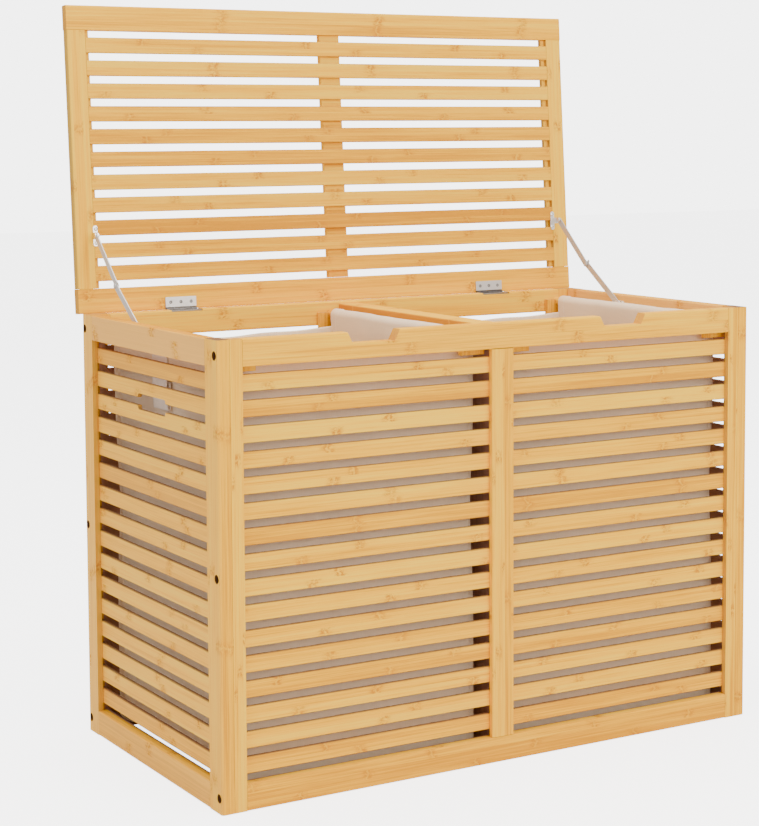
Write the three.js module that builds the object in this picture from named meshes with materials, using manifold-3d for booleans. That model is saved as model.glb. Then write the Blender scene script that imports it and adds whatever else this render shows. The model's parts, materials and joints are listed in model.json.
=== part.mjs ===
// Laundry hamper with two bins: a slatted bamboo chest with a slatted lid on two butt hinges,
// held open by two elbow stays, with two cloth bags hung on rods inside it.
//
// Millimetres, +Z up. +X is to the right of someone who stands in front, +Y is to the back.
// The origin is on the floor, in the middle of the chest, under the divider.
// The lid is drawn open, with its underside to the front.

import * as THREE from 'three';
import { mergeVertices } from 'three/addons/utils/BufferGeometryUtils.js';
import Module from 'manifold-3d';

const wasm = await Module();
wasm.setup();

// Chest
const chest_width = 730;
const chest_depth = 374;
const chest_height = 516;
const frame_width = 30; // rails, stiles and battens
const end_board = 15; // thickness of an end panel
const wall_board = 15; // thickness of the front and the back panel
const edge_round = 1.5; // long edges of the frame's boards
const corner_round = 3; // outer edge of the end panels' stiles
const fit_gap = 0.3; // left between pieces that touch
const weld = 0.5; // how deep a fused piece runs into its carrier
const overrun = 2; // how far a cutter runs past the face that it cuts

// Slats
const slat_width = 19;
const slat_pitch = 28; // nominal, evened out to fill a panel
const slat_board = 5;
const slat_round = 0.8;
const slat_lap = 6; // length of a slat's end in its rabbet
const slat_setback = 7; // from a panel's outer face to its slats

// Stub tenons that join rails and stiles
const tenon_reach = 9;
const tenon_board = 4;
const tenon_shoulder = 5;

// Counterbored screws that hold the end panels to the walls
const bore_radius = 5.2;
const bore_depth = 5;
const bore_inset = 17; // from a stile's top and bottom
const screw_head_radius = 3;
const screw_head_height = 2;

// Grip holes in the end panels, cut into the two slats on either side of one gap
const grip_width = 76;
const grip_cut = 5;
const slats_above_grip_count = 2;
const grip_round = 3;

// Finger notches in the front rail
const notch_top_width = 67;
const notch_bottom_width = 54;
const notch_depth = 12.5;
const notch_from_middle = 172;

// Lid
const lid_board = 12;
const lid_side_overhang = 2;
const lid_gap = 1; // between the closed lid and the chest's rim
const lid_back_overhang = 2.5; // of the closed lid past the chest's back face
const lid_open_angle = 94;

// Butt hinges
const hinge_from_end = 134; // middle of a leaf to the chest's end
const leaf_length = 42;
const leaf_width = 13;
const leaf_sheet = 1.2;
const barrel_radius = 2.4;
const hinge_pin_radius = 1.2;
const knuckle_count = 5;
const leaf_screw_spacing = 14;
const leaf_screw_radius = 1.2;
const leaf_screw_length = 9;
const countersink_radius = 2.3;
const countersink_depth = 0.4;

// Elbow stays
const stay_reach = 95; // from the hinge's axis to the pivot on the lid
const stay_drop = 12; // from the lid's underside to that pivot
const stay_foot_depth = 11; // from the rim to the pivot on the end panel
const stay_foot_back = 132; // from the chest's back face to that pivot
const arm_length = 84.4;
const arm_width = 8;
const arm_sheet = 1.2;
const stay_pin_radius = 2;
const rivet_radius = 3.2;
const rivet_head = 1;
const stay_plate_length = 25.5;
const stay_plate_width = 6;
const stay_plate_round = 2.8; // corners of a plate
const stay_plate_sheet = 1;
const stay_screw_spacing = 17;
const stay_screw_radius = 1.2;
const stay_screw_length = 9;
const stay_screw_head_radius = 2.3;
const stay_screw_head = 0.6;
const stay_standoff = 0.9; // shoulder that keeps the lower arm off its plate
const elbow_tab = 3; // lock tab at the head of the lower arm

// Divider
const divider_width = 30;
const divider_board = 12;
const divider_drop = 3; // its top lies below the rim
const partition_board = 5;
const partition_groove = 4;

// Rods and their holders
const rod_radius = 6;
const rod_drop = 16; // rim to rod axis
const rod_from_divider = 13; // side of the divider to rod axis
const rod_from_end = 20; // inside of the end panel to rod axis
const holder_near = 12.7; // rod axis to the holder's edge on the side of the divider or the end
const holder_far = 19.3; // rod axis to the holder's other edge
const holder_board = 8;
const holder_height = 24;
const holder_drop = 13;

// Bags
const bag_cloth = 2;
const sleeve_cloth = 1.7;
const bag_end_gap = 16; // bag to the inside of the front and the back wall
const bag_front_rim_drop = 26; // chest's rim to the bag's rim at the front
const bag_back_rim_drop = 34; // and at the back
const bag_floor_height = 12;

// Facets
const edge_steps = 2;
const fine_sides = 12;
const screw_sides = 8;
const rod_sides = 16;

// Places worked out from the sizes
const half_width = chest_width / 2;
const half_depth = chest_depth / 2;
const end_inner = half_width - end_board;
const wall_inner = half_depth - wall_board;
const hinge_axis_y = half_depth + barrel_radius + fit_gap;
const leaf_near = fit_gap / 2; // hinge axis to the near face of either leaf
const leaf_far = leaf_near + leaf_sheet;
const underside = leaf_far + fit_gap; // hinge axis to the lid's underside
const hinge_axis_z = chest_height + lid_gap - underside;
const mortise_depth = 2 * underside - lid_gap;
const lid_edge = barrel_radius + fit_gap - lid_back_overhang; // hinge axis to the lid's rear edge
const hinge_x = half_width - hinge_from_end;
const rod_axis_z = chest_height - rod_drop;

// The stays' layers, counted from the chest's outer side inwards
const foot_s = end_board + fit_gap;
const lower_arm_s = foot_s + stay_plate_sheet + stay_standoff + fit_gap;
const upper_arm_s = lower_arm_s + arm_sheet + fit_gap;
const ear_s = upper_arm_s + arm_sheet + fit_gap;
const stay_screw_steps = [-stay_screw_spacing / 2, stay_screw_spacing / 2];

// The rods' axes of the left bin, from the end panel to the divider
const rod_axes = [-(end_inner - rod_from_end), -(divider_width / 2 + rod_from_divider)];

const bamboo = { color: 0xeec07c, roughness: 0.5, metalness: 0 };
const slat_bamboo = { color: 0xe9b56d, roughness: 0.5, metalness: 0 };
const end_bamboo = { color: 0xe6c08c, roughness: 0.52, metalness: 0 };
const dark_bamboo = { color: 0xc98f52, roughness: 0.6, metalness: 0 };
const steel = { color: 0xcfcac6, roughness: 0.32, metalness: 1 };
const cloth = { color: 0xe3d3c4, roughness: 0.95, metalness: 0 };

// Solids

// A closed three.js geometry as a solid that can be joined and cut.
function solidOf(geometry) {
  const bare = geometry.clone();
  bare.deleteAttribute('normal');
  bare.deleteAttribute('uv');
  const merged = mergeVertices(bare);
  return new wasm.Manifold(new wasm.Mesh({
    numProp: 3,
    vertProperties: new Float32Array(merged.attributes.position.array),
    triVerts: new Uint32Array(merged.index.array),
  }));
}

// A solid as a three.js geometry.
function geometryOf(body) {
  const mesh = body.getMesh();
  const geometry = new THREE.BufferGeometry();
  geometry.setAttribute('position', new THREE.BufferAttribute(new Float32Array(mesh.vertProperties), 3));
  geometry.setIndex(new THREE.BufferAttribute(new Uint32Array(mesh.triVerts), 1));
  geometry.computeVertexNormals();
  return geometry;
}

// For each direction of extrusion, the two axes of its section and then the direction itself.
const section_axes = { x: 'yzx', y: 'zxy', z: 'xyz' };

// An outline in the section's two axes, carried along x, y or z.
function extrusion(outline, along, start, length) {
  const shape = outline instanceof THREE.Shape ? outline : new THREE.Shape(outline);
  const geometry = new THREE.ExtrudeGeometry(shape, { depth: length, bevelEnabled: false });
  const columns = [...section_axes[along]].map((axis) => {
    const column = new THREE.Vector3();
    column[axis] = 1;
    return column;
  });
  geometry.applyMatrix4(new THREE.Matrix4().makeBasis(...columns));
  const shift = new THREE.Vector3();
  shift[along] = start;
  geometry.translate(shift.x, shift.y, shift.z);
  return solidOf(geometry);
}

// The points of a circle's arc, from one angle to another.
function arc(centre, radius, from, to, steps) {
  return Array.from({ length: steps + 1 }, (_, i) => {
    const angle = from + ((to - from) * i) / steps;
    return new THREE.Vector2(centre[0] + radius * Math.cos(angle), centre[1] + radius * Math.sin(angle));
  });
}

// A rectangle with its corners rounded, but for those named as square. The corners are counted
// round the rectangle, from the high one.
function roundedRectangle(low, high, radius, steps, square = []) {
  const quarter = Math.PI / 2;
  const corners = [[high[0], high[1]], [low[0], high[1]], [low[0], low[1]], [high[0], low[1]]];
  const inward = [[-1, -1], [1, -1], [1, 1], [-1, 1]];
  return corners.flatMap((corner, i) => {
    if (square.includes(i)) {
      return [new THREE.Vector2(corner[0], corner[1])];
    }
    const centre = [corner[0] + inward[i][0] * radius, corner[1] + inward[i][1] * radius];
    return arc(centre, radius, i * quarter, (i + 1) * quarter, steps);
  });
}

// A board between two opposite corners, its long edges rounded and its grain along one axis.
function board(low, high, along, radius = edge_round, steps = edge_steps, square = []) {
  const [a, b, c] = [...section_axes[along]].map((axis) => 'xyz'.indexOf(axis));
  const section = roundedRectangle([low[a], low[b]], [high[a], high[b]], radius, steps, square);
  return extrusion(section, along, low[c], high[c] - low[c]);
}

// A block between two opposite corners, with square edges.
function block(low, high) {
  const geometry = new THREE.BoxGeometry(high[0] - low[0], high[1] - low[1], high[2] - low[2]);
  geometry.translate((low[0] + high[0]) / 2, (low[1] + high[1]) / 2, (low[2] + high[2]) / 2);
  return solidOf(geometry);
}

// A round bar along x, y or z. The centre gives its place in the section's two axes.
function roundBar(centre, radius, along, start, length, sides = fine_sides) {
  return extrusion(arc(centre, radius, 0, 2 * Math.PI, sides).slice(0, sides), along, start, length);
}

function joined(pieces) {
  return pieces.reduce((whole, piece) => whole.add(piece));
}

function cut(body, cutters) {
  return cutters.reduce((rest, cutter) => rest.subtract(cutter), body);
}

// A tenon on one piece and its mortise in another. The tenon is a block that overlaps its own piece.
function tenoned(member, host, low, high, along) {
  const swollenLow = low.map((value, axis) => value - fit_gap);
  const swollenHigh = high.map((value, axis) => value + fit_gap);
  return [member.add(block(low, high)), host.subtract(block(swollenLow, swollenHigh))];
}

// Scene

const hamper = new THREE.Group();

function place(parent, name, body, finish) {
  const mesh = new THREE.Mesh(geometryOf(body), new THREE.MeshStandardMaterial(finish));
  mesh.name = name;
  parent.add(mesh);
  return mesh;
}

function group(parent, x, y, z) {
  const made = new THREE.Group();
  made.position.set(x, y, z);
  parent.add(made);
  return made;
}

// Slatted panels

// The evenly spaced slats that fill a height: how many, and the lower edge of each.
function slatRows(height) {
  const nominal_gap = slat_pitch - slat_width;
  const count = Math.max(1, Math.round((height - nominal_gap) / slat_pitch));
  const gap = (height - count * slat_width) / (count + 1);
  return Array.from({ length: count }, (_, i) => gap + i * (slat_width + gap));
}

// A framed panel that stands on z = 0 with its outer face at y = 0 and its middle at x = 0.
// Slats lie in rabbets cut into the stiles from behind. A batten, where there is one, stands in
// front of the slats and carries them. Otherwise the stile on the side of -X or +X does.
// Edges that lie along a joint stay square. A wall's stiles butt against the end panels, so all
// their edges do.
function slattedPanel({ width, height, thick, stile, railsRunThrough, carrier, isWall }) {
  const setback = slat_setback - fit_gap;
  const side = width / 2;
  const stile_inner = side - stile;
  const low_rail_top = frame_width;
  const high_rail_bottom = height - frame_width;
  const stile_low = railsRunThrough ? low_rail_top + fit_gap : 0;
  const stile_high = railsRunThrough ? high_rail_bottom - fit_gap : height;
  const rail_end = railsRunThrough ? side : stile_inner - fit_gap;
  const all_corners = [0, 1, 2, 3];
  const square_along_rail = { bottom: [0, 1], top: [2, 3] };
  const stile_round = railsRunThrough ? edge_round : corner_round;

  const stiles = {};
  for (const sign of [-1, 1]) {
    const low_x = Math.min(sign * side, sign * stile_inner);
    const high_x = Math.max(sign * side, sign * stile_inner);
    const rabbet = sign * (stile_inner + slat_lap);
    const rabbet_mouth = sign * (stile_inner - overrun);
    const outermost = sign < 0 ? 2 : 3;
    const joint_corners = isWall ? all_corners : all_corners.filter((corner) => corner !== outermost);
    const square = railsRunThrough ? [] : joint_corners;
    stiles[sign] = board(
      [low_x, 0, stile_low], [high_x, thick, stile_high], 'z', stile_round, edge_steps, square,
    ).subtract(
      block([Math.min(rabbet, rabbet_mouth), setback, low_rail_top],
        [Math.max(rabbet, rabbet_mouth), thick + overrun, high_rail_bottom]),
    );
  }
  const railBoard = (end, low_z, high_z) => board(
    [-rail_end, 0, low_z], [rail_end, thick, high_z], 'x', edge_round, edge_steps,
    railsRunThrough ? square_along_rail[end] : [],
  );
  const rails = {
    bottom: railBoard('bottom', 0, low_rail_top),
    top: railBoard('top', high_rail_bottom, height),
  };

  // The shorter pieces carry stub tenons into the ones that run through.
  const tenon_y = [(thick - tenon_board) / 2, (thick + tenon_board) / 2];
  for (const sign of [-1, 1]) {
    for (const end of ['bottom', 'top']) {
      const rail_low = end === 'bottom' ? 0 : high_rail_bottom;
      if (railsRunThrough) {
        const shoulder_z = end === 'bottom' ? stile_low : stile_high;
        const reach = end === 'bottom' ? -tenon_reach : tenon_reach;
        const near_x = sign * (side - tenon_shoulder);
        const far_x = sign * (stile_inner + slat_lap + tenon_shoulder / 2);
        const low = [Math.min(near_x, far_x), tenon_y[0], Math.min(shoulder_z - weld, shoulder_z + reach)];
        const high = [Math.max(near_x, far_x), tenon_y[1], Math.max(shoulder_z + weld, shoulder_z + reach)];
        [stiles[sign], rails[end]] = tenoned(stiles[sign], rails[end], low, high);
      } else {
        const far_x = sign * (rail_end + tenon_reach);
        const near_x = sign * (rail_end - weld);
        const low = [Math.min(near_x, far_x), tenon_y[0], rail_low + tenon_shoulder];
        const high = [Math.max(near_x, far_x), tenon_y[1], rail_low + frame_width - tenon_shoulder];
        [rails[end], stiles[sign]] = tenoned(rails[end], stiles[sign], low, high);
      }
    }
  }

  const rows = slatRows(high_rail_bottom - low_rail_top).map((row) => low_rail_top + row);
  const slat_end = stile_inner + slat_lap - fit_gap;
  const welded_end = stile_inner + slat_lap + weld;
  const left_end = carrier === -1 ? welded_end : slat_end;
  const right_end = carrier === 1 ? welded_end : slat_end;
  const slats = rows.map((row) => board([-left_end, slat_setback, row],
    [right_end, slat_setback + slat_board, row + slat_width], 'x', slat_round, 1));
  const batten = carrier === 'batten' && board(
    [-frame_width / 2, 0, low_rail_top + fit_gap],
    [frame_width / 2, slat_setback + weld, high_rail_bottom - fit_gap], 'z',
  );
  return { stiles, rails, slats, batten, rows };
}

// The front and the back wall stand between the end panels.
const wall_width = 2 * (end_inner - fit_gap);
const wall_stile = frame_width - end_board;

function wall() {
  return slattedPanel({
    width: wall_width, height: chest_height, thick: wall_board, stile: wall_stile,
    railsRunThrough: false, carrier: 'batten', isWall: true,
  });
}

function notchCutter(middle) {
  const top = chest_height + overrun;
  const slope = (notch_top_width - notch_bottom_width) / 2 / notch_depth;
  const half_bottom = notch_bottom_width / 2;
  const half_top = half_bottom + slope * (notch_depth + overrun);
  const floor = chest_height - notch_depth;
  // The section's axes are z and x.
  const outline = [[floor, -half_bottom], [floor, half_bottom], [top, half_top], [top, -half_top]];
  const points = outline.map(([z, x]) => new THREE.Vector2(z, middle + x));
  return extrusion(points, 'y', -overrun, wall_board + 2 * overrun);
}

// The places of a leaf's screws along x.
const leaf_screw_steps = [-leaf_screw_spacing, 0, leaf_screw_spacing];

// A shallow seat across a top rail for a hinge's two leaves, with the holes for the screws.
function hingeMortise(middle) {
  const floor = chest_height - mortise_depth;
  const half = leaf_length / 2 + fit_gap;
  const seat = block([middle - half, -overrun, floor],
    [middle + half, wall_board + overrun, chest_height + overrun]);
  const holes = leaf_screw_steps.map((step) => roundBar(
    [middle + step, leaf_width / 2], leaf_screw_radius + fit_gap, 'z',
    floor - leaf_screw_length, leaf_screw_length + weld, screw_sides,
  ));
  return joined([seat, ...holes]);
}

function addFrontWall() {
  const front = group(hamper, 0, -half_depth, 0);
  const panel = wall();
  const notches = [-notch_from_middle, notch_from_middle].map(notchCutter);
  place(front, 'front_left_stile', panel.stiles[-1], bamboo);
  place(front, 'front_right_stile', panel.stiles[1], bamboo);
  place(front, 'front_top_rail', cut(panel.rails.top, notches), bamboo);
  place(front, 'front_bottom_rail', panel.rails.bottom, bamboo);
  place(front, 'front_middle_stile_and_slats', joined([panel.batten, ...panel.slats]), slat_bamboo);
}

function addBackWall() {
  const back = group(hamper, 0, half_depth, 0);
  back.rotation.z = Math.PI;
  const panel = wall();
  const mortises = [-hinge_x, hinge_x].map(hingeMortise);
  place(back, 'back_right_stile', panel.stiles[-1], bamboo);
  place(back, 'back_left_stile', panel.stiles[1], bamboo);
  place(back, 'back_top_rail', cut(panel.rails.top, mortises), bamboo);
  place(back, 'back_bottom_rail', panel.rails.bottom, bamboo);
  place(back, 'back_middle_stile_and_slats', joined([panel.batten, ...panel.slats]), slat_bamboo);
}

// End panels run the whole depth and lap over the walls' ends.

function gripCutter(rows) {
  const lower = rows[rows.length - 1 - slats_above_grip_count];
  const upper = rows[rows.length - slats_above_grip_count];
  const low = lower + slat_width - grip_cut;
  const high = upper + grip_cut;
  const outline = roundedRectangle([low, -grip_width / 2], [high, grip_width / 2], grip_round, edge_steps);
  return extrusion(outline, 'y', -overrun, end_board + 2 * overrun);
}

// Counterbores with the heads of the screws left standing in them.
function screwCutters(x) {
  const heights = [bore_inset, chest_height / 2, chest_height - bore_inset];
  return heights.map((z) => {
    const bore = roundBar([z, x], bore_radius, 'y', -overrun, bore_depth + overrun);
    const head = roundBar([z, x], screw_head_radius, 'y', bore_depth - screw_head_height,
      screw_head_height + weld, screw_sides);
    return bore.subtract(head);
  });
}

function addEndPanel(name, sign) {
  const end = group(hamper, sign * half_width, 0, 0);
  end.rotation.z = (sign * Math.PI) / 2;
  const front = sign < 0 ? 1 : -1; // the side of the panel's own x that is to the front
  const panel = slattedPanel({
    width: chest_depth, height: chest_height, thick: end_board, stile: frame_width,
    railsRunThrough: false, carrier: front,
  });
  const grip = gripCutter(panel.rows);
  const screw_x = half_depth - wall_board / 2;
  const front_stile = cut(panel.stiles[front], screwCutters(front * screw_x));
  const back_stile = cut(panel.stiles[-front], screwCutters(-front * screw_x));
  const slats = panel.slats.map((slat) => slat.subtract(grip));
  place(end, `${name}_front_stile_and_slats`, joined([front_stile, ...slats]), end_bamboo);
  place(end, `${name}_back_stile`, back_stile, end_bamboo);
  const foot_y = half_depth - stay_foot_back;
  const holes = stay_screw_steps.map((step) => roundBar(
    [chest_height - stay_foot_depth, -front * (foot_y + step)], stay_screw_radius + fit_gap, 'y',
    end_board - stay_screw_length, stay_screw_length + overrun, screw_sides,
  ));
  place(end, `${name}_top_rail`, cut(panel.rails.top, holes), end_bamboo);
  place(end, `${name}_bottom_rail`, panel.rails.bottom, end_bamboo);
}

// Divider: a flat top rail, a flat bottom rail on the floor and a thin board in grooves between them.

function addDivider() {
  const end = wall_inner - fit_gap;
  const half = divider_width / 2;
  const top = chest_height - divider_drop;
  const groove_half = partition_board / 2 + fit_gap;
  const low_groove = divider_board - partition_groove;
  const high_groove = top - divider_board + partition_groove;
  const top_rail = board([-half, -end, top - divider_board], [half, end, top], 'y');
  const bottom_rail = board([-half, -end, 0], [half, end, divider_board], 'y');
  const upper_cut = block([-groove_half, -end - overrun, top - divider_board - overrun],
    [groove_half, end + overrun, high_groove]);
  const lower_cut = block([-groove_half, -end - overrun, low_groove],
    [groove_half, end + overrun, divider_board + overrun]);
  place(hamper, 'divider_top_rail', top_rail.subtract(upper_cut), bamboo);
  place(hamper, 'divider_bottom_rail', bottom_rail.subtract(lower_cut), bamboo);
  const partition = block([-partition_board / 2, -end, low_groove + fit_gap],
    [partition_board / 2, end, high_groove - fit_gap]);
  place(hamper, 'divider_partition', partition, dark_bamboo);
}

// Rods lie in U-slots of holders that are screwed to the top rails.

function addRodAndHolders(name, axis_x, near) {
  const rod_end = wall_inner - 2 * fit_gap;
  const rod = roundBar([rod_axis_z, axis_x], rod_radius, 'y', -rod_end, 2 * rod_end, rod_sides);
  place(hamper, `${name}_rod`, rod, bamboo);
  const near_x = axis_x + near * holder_near;
  const far_x = axis_x - near * holder_far;
  const top = chest_height - holder_drop;
  const slot_radius = rod_radius + fit_gap;
  for (const [side, sign] of [['front', -1], ['back', 1]]) {
    const face = sign * (wall_inner - fit_gap);
    const inner = face - sign * holder_board;
    const low_y = Math.min(face, inner);
    const high_y = Math.max(face, inner);
    const body = board([Math.min(near_x, far_x), low_y, top - holder_height],
      [Math.max(near_x, far_x), high_y, top], 'z');
    const slot = [
      roundBar([rod_axis_z, axis_x], slot_radius, 'y', low_y - overrun, holder_board + 2 * overrun,
        rod_sides),
      block([axis_x - slot_radius, low_y - overrun, rod_axis_z],
        [axis_x + slot_radius, high_y + overrun, top + overrun]),
    ];
    place(hamper, `${name}_${side}_holder`, cut(body, slot), bamboo);
  }
}

// A bag is an open-topped box of cloth with a sleeve round each rod. Its side walls hang under the
// rods, and its front and back rims are lower than the sleeves.

function addBag(name, axes) {
  const [low_axis, high_axis] = axes;
  const sleeve = rod_radius + fit_gap + sleeve_cloth;
  const half = wall_inner - bag_end_gap;
  const low_x = low_axis - bag_cloth / 2;
  const high_x = high_axis + bag_cloth / 2;
  const tubes = axes.map((x) => roundBar([rod_axis_z, x], sleeve, 'y', -half, 2 * half, rod_sides));
  const bores = axes.map((x) => roundBar(
    [rod_axis_z, x], rod_radius + fit_gap, 'y', -half - overrun, 2 * (half + overrun), rod_sides,
  ));
  const outer = block([low_x, -half, bag_floor_height], [high_x, half, rod_axis_z]);
  const inner = block([low_x + bag_cloth, -half + bag_cloth, bag_floor_height + bag_cloth],
    [high_x - bag_cloth, half - bag_cloth, rod_axis_z + overrun]);
  const above_rims = [[-1, bag_front_rim_drop], [1, bag_back_rim_drop]].map(([sign, drop]) => block(
    [low_x + bag_cloth, Math.min(0, sign * (half + overrun)), chest_height - drop],
    [high_x - bag_cloth, Math.max(0, sign * (half + overrun)), rod_axis_z + overrun],
  ));
  const bag = cut(joined([cut(outer, [inner, ...above_rims]), ...tubes]), bores);
  place(hamper, name, bag, cloth);
}

function addBins() {
  const right_axes = rod_axes.map((x) => -x).reverse();
  addRodAndHolders('left_bin_outer', rod_axes[0], -1);
  addRodAndHolders('left_bin_inner', rod_axes[1], 1);
  addRodAndHolders('right_bin_inner', right_axes[0], -1);
  addRodAndHolders('right_bin_outer', right_axes[1], 1);
  addBag('left_bag', rod_axes);
  addBag('right_bag', right_axes);
}

// Lid, in a group whose origin is on the hinges' axis. In the group the lid stands upright, and
// the group leans back by what the lid opens past a right angle.

const lid_lean = THREE.MathUtils.degToRad(lid_open_angle - 90);
const lid = group(hamper, 0, hinge_axis_y, hinge_axis_z);
lid.rotation.x = -lid_lean;

function addLidPanel() {
  const turned = group(lid, 0, underside + lid_board, lid_edge);
  turned.rotation.z = Math.PI;
  const panel = slattedPanel({
    width: chest_width + 2 * lid_side_overhang, height: chest_depth + lid_back_overhang, thick: lid_board,
    stile: frame_width, railsRunThrough: true, carrier: 'batten',
  });
  const hinge_holes = [-hinge_x, hinge_x].flatMap((x) => leaf_screw_steps.map((step) => roundBar(
    [lid_back_overhang + leaf_width / 2, x + step], leaf_screw_radius + fit_gap, 'y',
    lid_board - leaf_screw_length, leaf_screw_length + overrun, screw_sides,
  )));
  const stay_x = half_width - ear_s - (arm_sheet + stay_plate_width) / 2;
  const barrel_rooms = [-hinge_x, hinge_x].map((x) => roundBar(
    [underside + lid_board, -lid_edge], barrel_radius + fit_gap, 'x',
    x - leaf_length / 2 - fit_gap, leaf_length + 2 * fit_gap,
  ));
  const stay_z = stay_reach - lid_edge;
  const stayHoles = (sign) => stay_screw_steps.map((step) => roundBar(
    [stay_z + step, sign * stay_x], stay_screw_radius + fit_gap, 'y',
    lid_board - stay_screw_length, stay_screw_length + overrun, screw_sides,
  ));
  place(turned, 'lid_right_stile', cut(panel.stiles[-1], stayHoles(-1)), bamboo);
  place(turned, 'lid_left_stile', cut(panel.stiles[1], stayHoles(1)), bamboo);
  place(turned, 'lid_front_rail', panel.rails.top, bamboo);
  place(turned, 'lid_rear_rail', cut(panel.rails.bottom, [...hinge_holes, ...barrel_rooms]), bamboo);
  const slats = cut(joined([panel.batten, ...panel.slats]), [...stayHoles(-1), ...stayHoles(1)]);
  place(turned, 'lid_batten_and_slats', slats, slat_bamboo);
}

// Butt hinges. Odd knuckles belong to the leaf on the chest, and so does the pin.

// A hinge's leaf about the axis y = z = 0, its plate towards +Z between two y values. The screws
// leave it towards the wood.
function hingeLeaf(first_knuckle, plate_y, wood) {
  const half = leaf_length / 2;
  const plate_start = barrel_radius + fit_gap;
  const plate = block([-half, plate_y[0], plate_start], [half, plate_y[1], plate_start + leaf_width]);
  const step = leaf_length / knuckle_count;
  const pieces = [plate];
  for (let i = first_knuckle; i < knuckle_count; i += 2) {
    const start = -half + i * step + fit_gap / 2;
    const end = -half + (i + 1) * step - fit_gap / 2;
    pieces.push(roundBar([0, 0], barrel_radius, 'x', start, end - start));
    pieces.push(block([start, plate_y[0], 0], [end, plate_y[1], plate_start + weld]));
  }
  const middle_z = plate_start + leaf_width / 2;
  const wood_face = wood > 0 ? plate_y[1] : plate_y[0];
  const open_face = wood > 0 ? plate_y[0] : plate_y[1];
  const shank_end = wood_face + wood * (leaf_screw_length - fit_gap);
  const shank_start = wood_face - wood * weld;
  const sinks = [];
  for (const x of leaf_screw_steps) {
    pieces.push(roundBar([middle_z, x], leaf_screw_radius, 'y',
      Math.min(shank_start, shank_end), Math.abs(shank_end - shank_start), screw_sides));
    const sink_floor = open_face + wood * countersink_depth;
    const sink_mouth = open_face - wood * overrun;
    sinks.push(roundBar([middle_z, x], countersink_radius, 'y',
      Math.min(sink_floor, sink_mouth), countersink_depth + overrun, screw_sides));
  }
  return cut(joined(pieces), sinks);
}

function addHinges() {
  for (const [side, sign] of [['left', -1], ['right', 1]]) {
    const upper = group(lid, sign * hinge_x, 0, 0);
    const bore = roundBar([0, 0], hinge_pin_radius + fit_gap, 'x',
      -leaf_length / 2 - overrun, leaf_length + 2 * overrun);
    place(upper, `${side}_hinge_lid_leaf`, hingeLeaf(1, [leaf_near, leaf_far], 1).subtract(bore), steel);
    const lower = group(hamper, sign * hinge_x, hinge_axis_y, hinge_axis_z);
    lower.rotation.x = Math.PI / 2;
    const pin = roundBar([0, 0], hinge_pin_radius, 'x', -leaf_length / 2 + fit_gap / 2,
      leaf_length - fit_gap);
    place(lower, `${side}_hinge_chest_leaf`, hingeLeaf(0, [-leaf_far, -leaf_near], -1).add(pin), steel);
  }
}

// Elbow stays. The elbow is drawn as two half rivets, one on each arm.

// The two x values of a layer, from its distances to the chest's outer side.
function layer(sign, near_s, far_s) {
  const ends = [sign * (half_width - near_s), sign * (half_width - far_s)];
  return [Math.min(...ends), Math.max(...ends)];
}

// A disc or pin along x between two distances from the chest's outer side.
function sidePin(sign, centre, radius, near_s, far_s, sides = fine_sides) {
  const [low, high] = layer(sign, near_s, far_s);
  return roundBar(centre, radius, 'x', low, high - low, sides);
}

// A box between two distances from the chest's outer side.
function sideBlock(sign, near_s, far_s, low, high) {
  const ends = layer(sign, near_s, far_s);
  return block([ends[0], ...low], [ends[1], ...high]);
}

// The outline of a plate with round ends.
function stayPlate(low, high) {
  return roundedRectangle(low, high, stay_plate_round, fine_sides / 4);
}

// A flat arm along +Y, with a hole for the pin at y = 0 and half a rivet at its far end.
function arm(sign, near_s, rivet_near_s) {
  const quarter = Math.PI / 2;
  const outline = [
    ...arc([0, 0], arm_width / 2, quarter, 3 * quarter, fine_sides / 2),
    ...arc([arm_length, 0], arm_width / 2, -quarter, quarter, fine_sides / 2),
  ];
  const far_s = near_s + arm_sheet;
  const [low, high] = layer(sign, near_s, far_s);
  const rivet_far_s = rivet_near_s + rivet_head + weld;
  const hole = sidePin(sign, [0, 0], stay_pin_radius + fit_gap, near_s - overrun, far_s + overrun);
  const rivet = sidePin(sign, [arm_length, 0], rivet_radius, rivet_near_s, rivet_far_s);
  return extrusion(outline, 'x', low, high - low).subtract(hole).add(rivet);
}

// The pivot on the open lid and the pivot on the end panel, as y and z.
const lid_pivot = new THREE.Vector2(underside - stay_drop, stay_reach)
  .rotateAround(new THREE.Vector2(0, 0), -lid_lean)
  .add(new THREE.Vector2(hinge_axis_y, hinge_axis_z));
const foot_pivot = new THREE.Vector2(half_depth - stay_foot_back, chest_height - stay_foot_depth);

// The elbow hangs below the line between the two pivots.
function elbowPoint() {
  const chord = lid_pivot.clone().sub(foot_pivot);
  const half = Math.min(chord.length() / 2, arm_length);
  const sag = Math.sqrt(arm_length ** 2 - half ** 2);
  const downwards = new THREE.Vector2(chord.y, -chord.x).normalize();
  return foot_pivot.clone().add(lid_pivot).divideScalar(2).addScaledVector(downwards, sag);
}

const elbow = elbowPoint();

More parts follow.
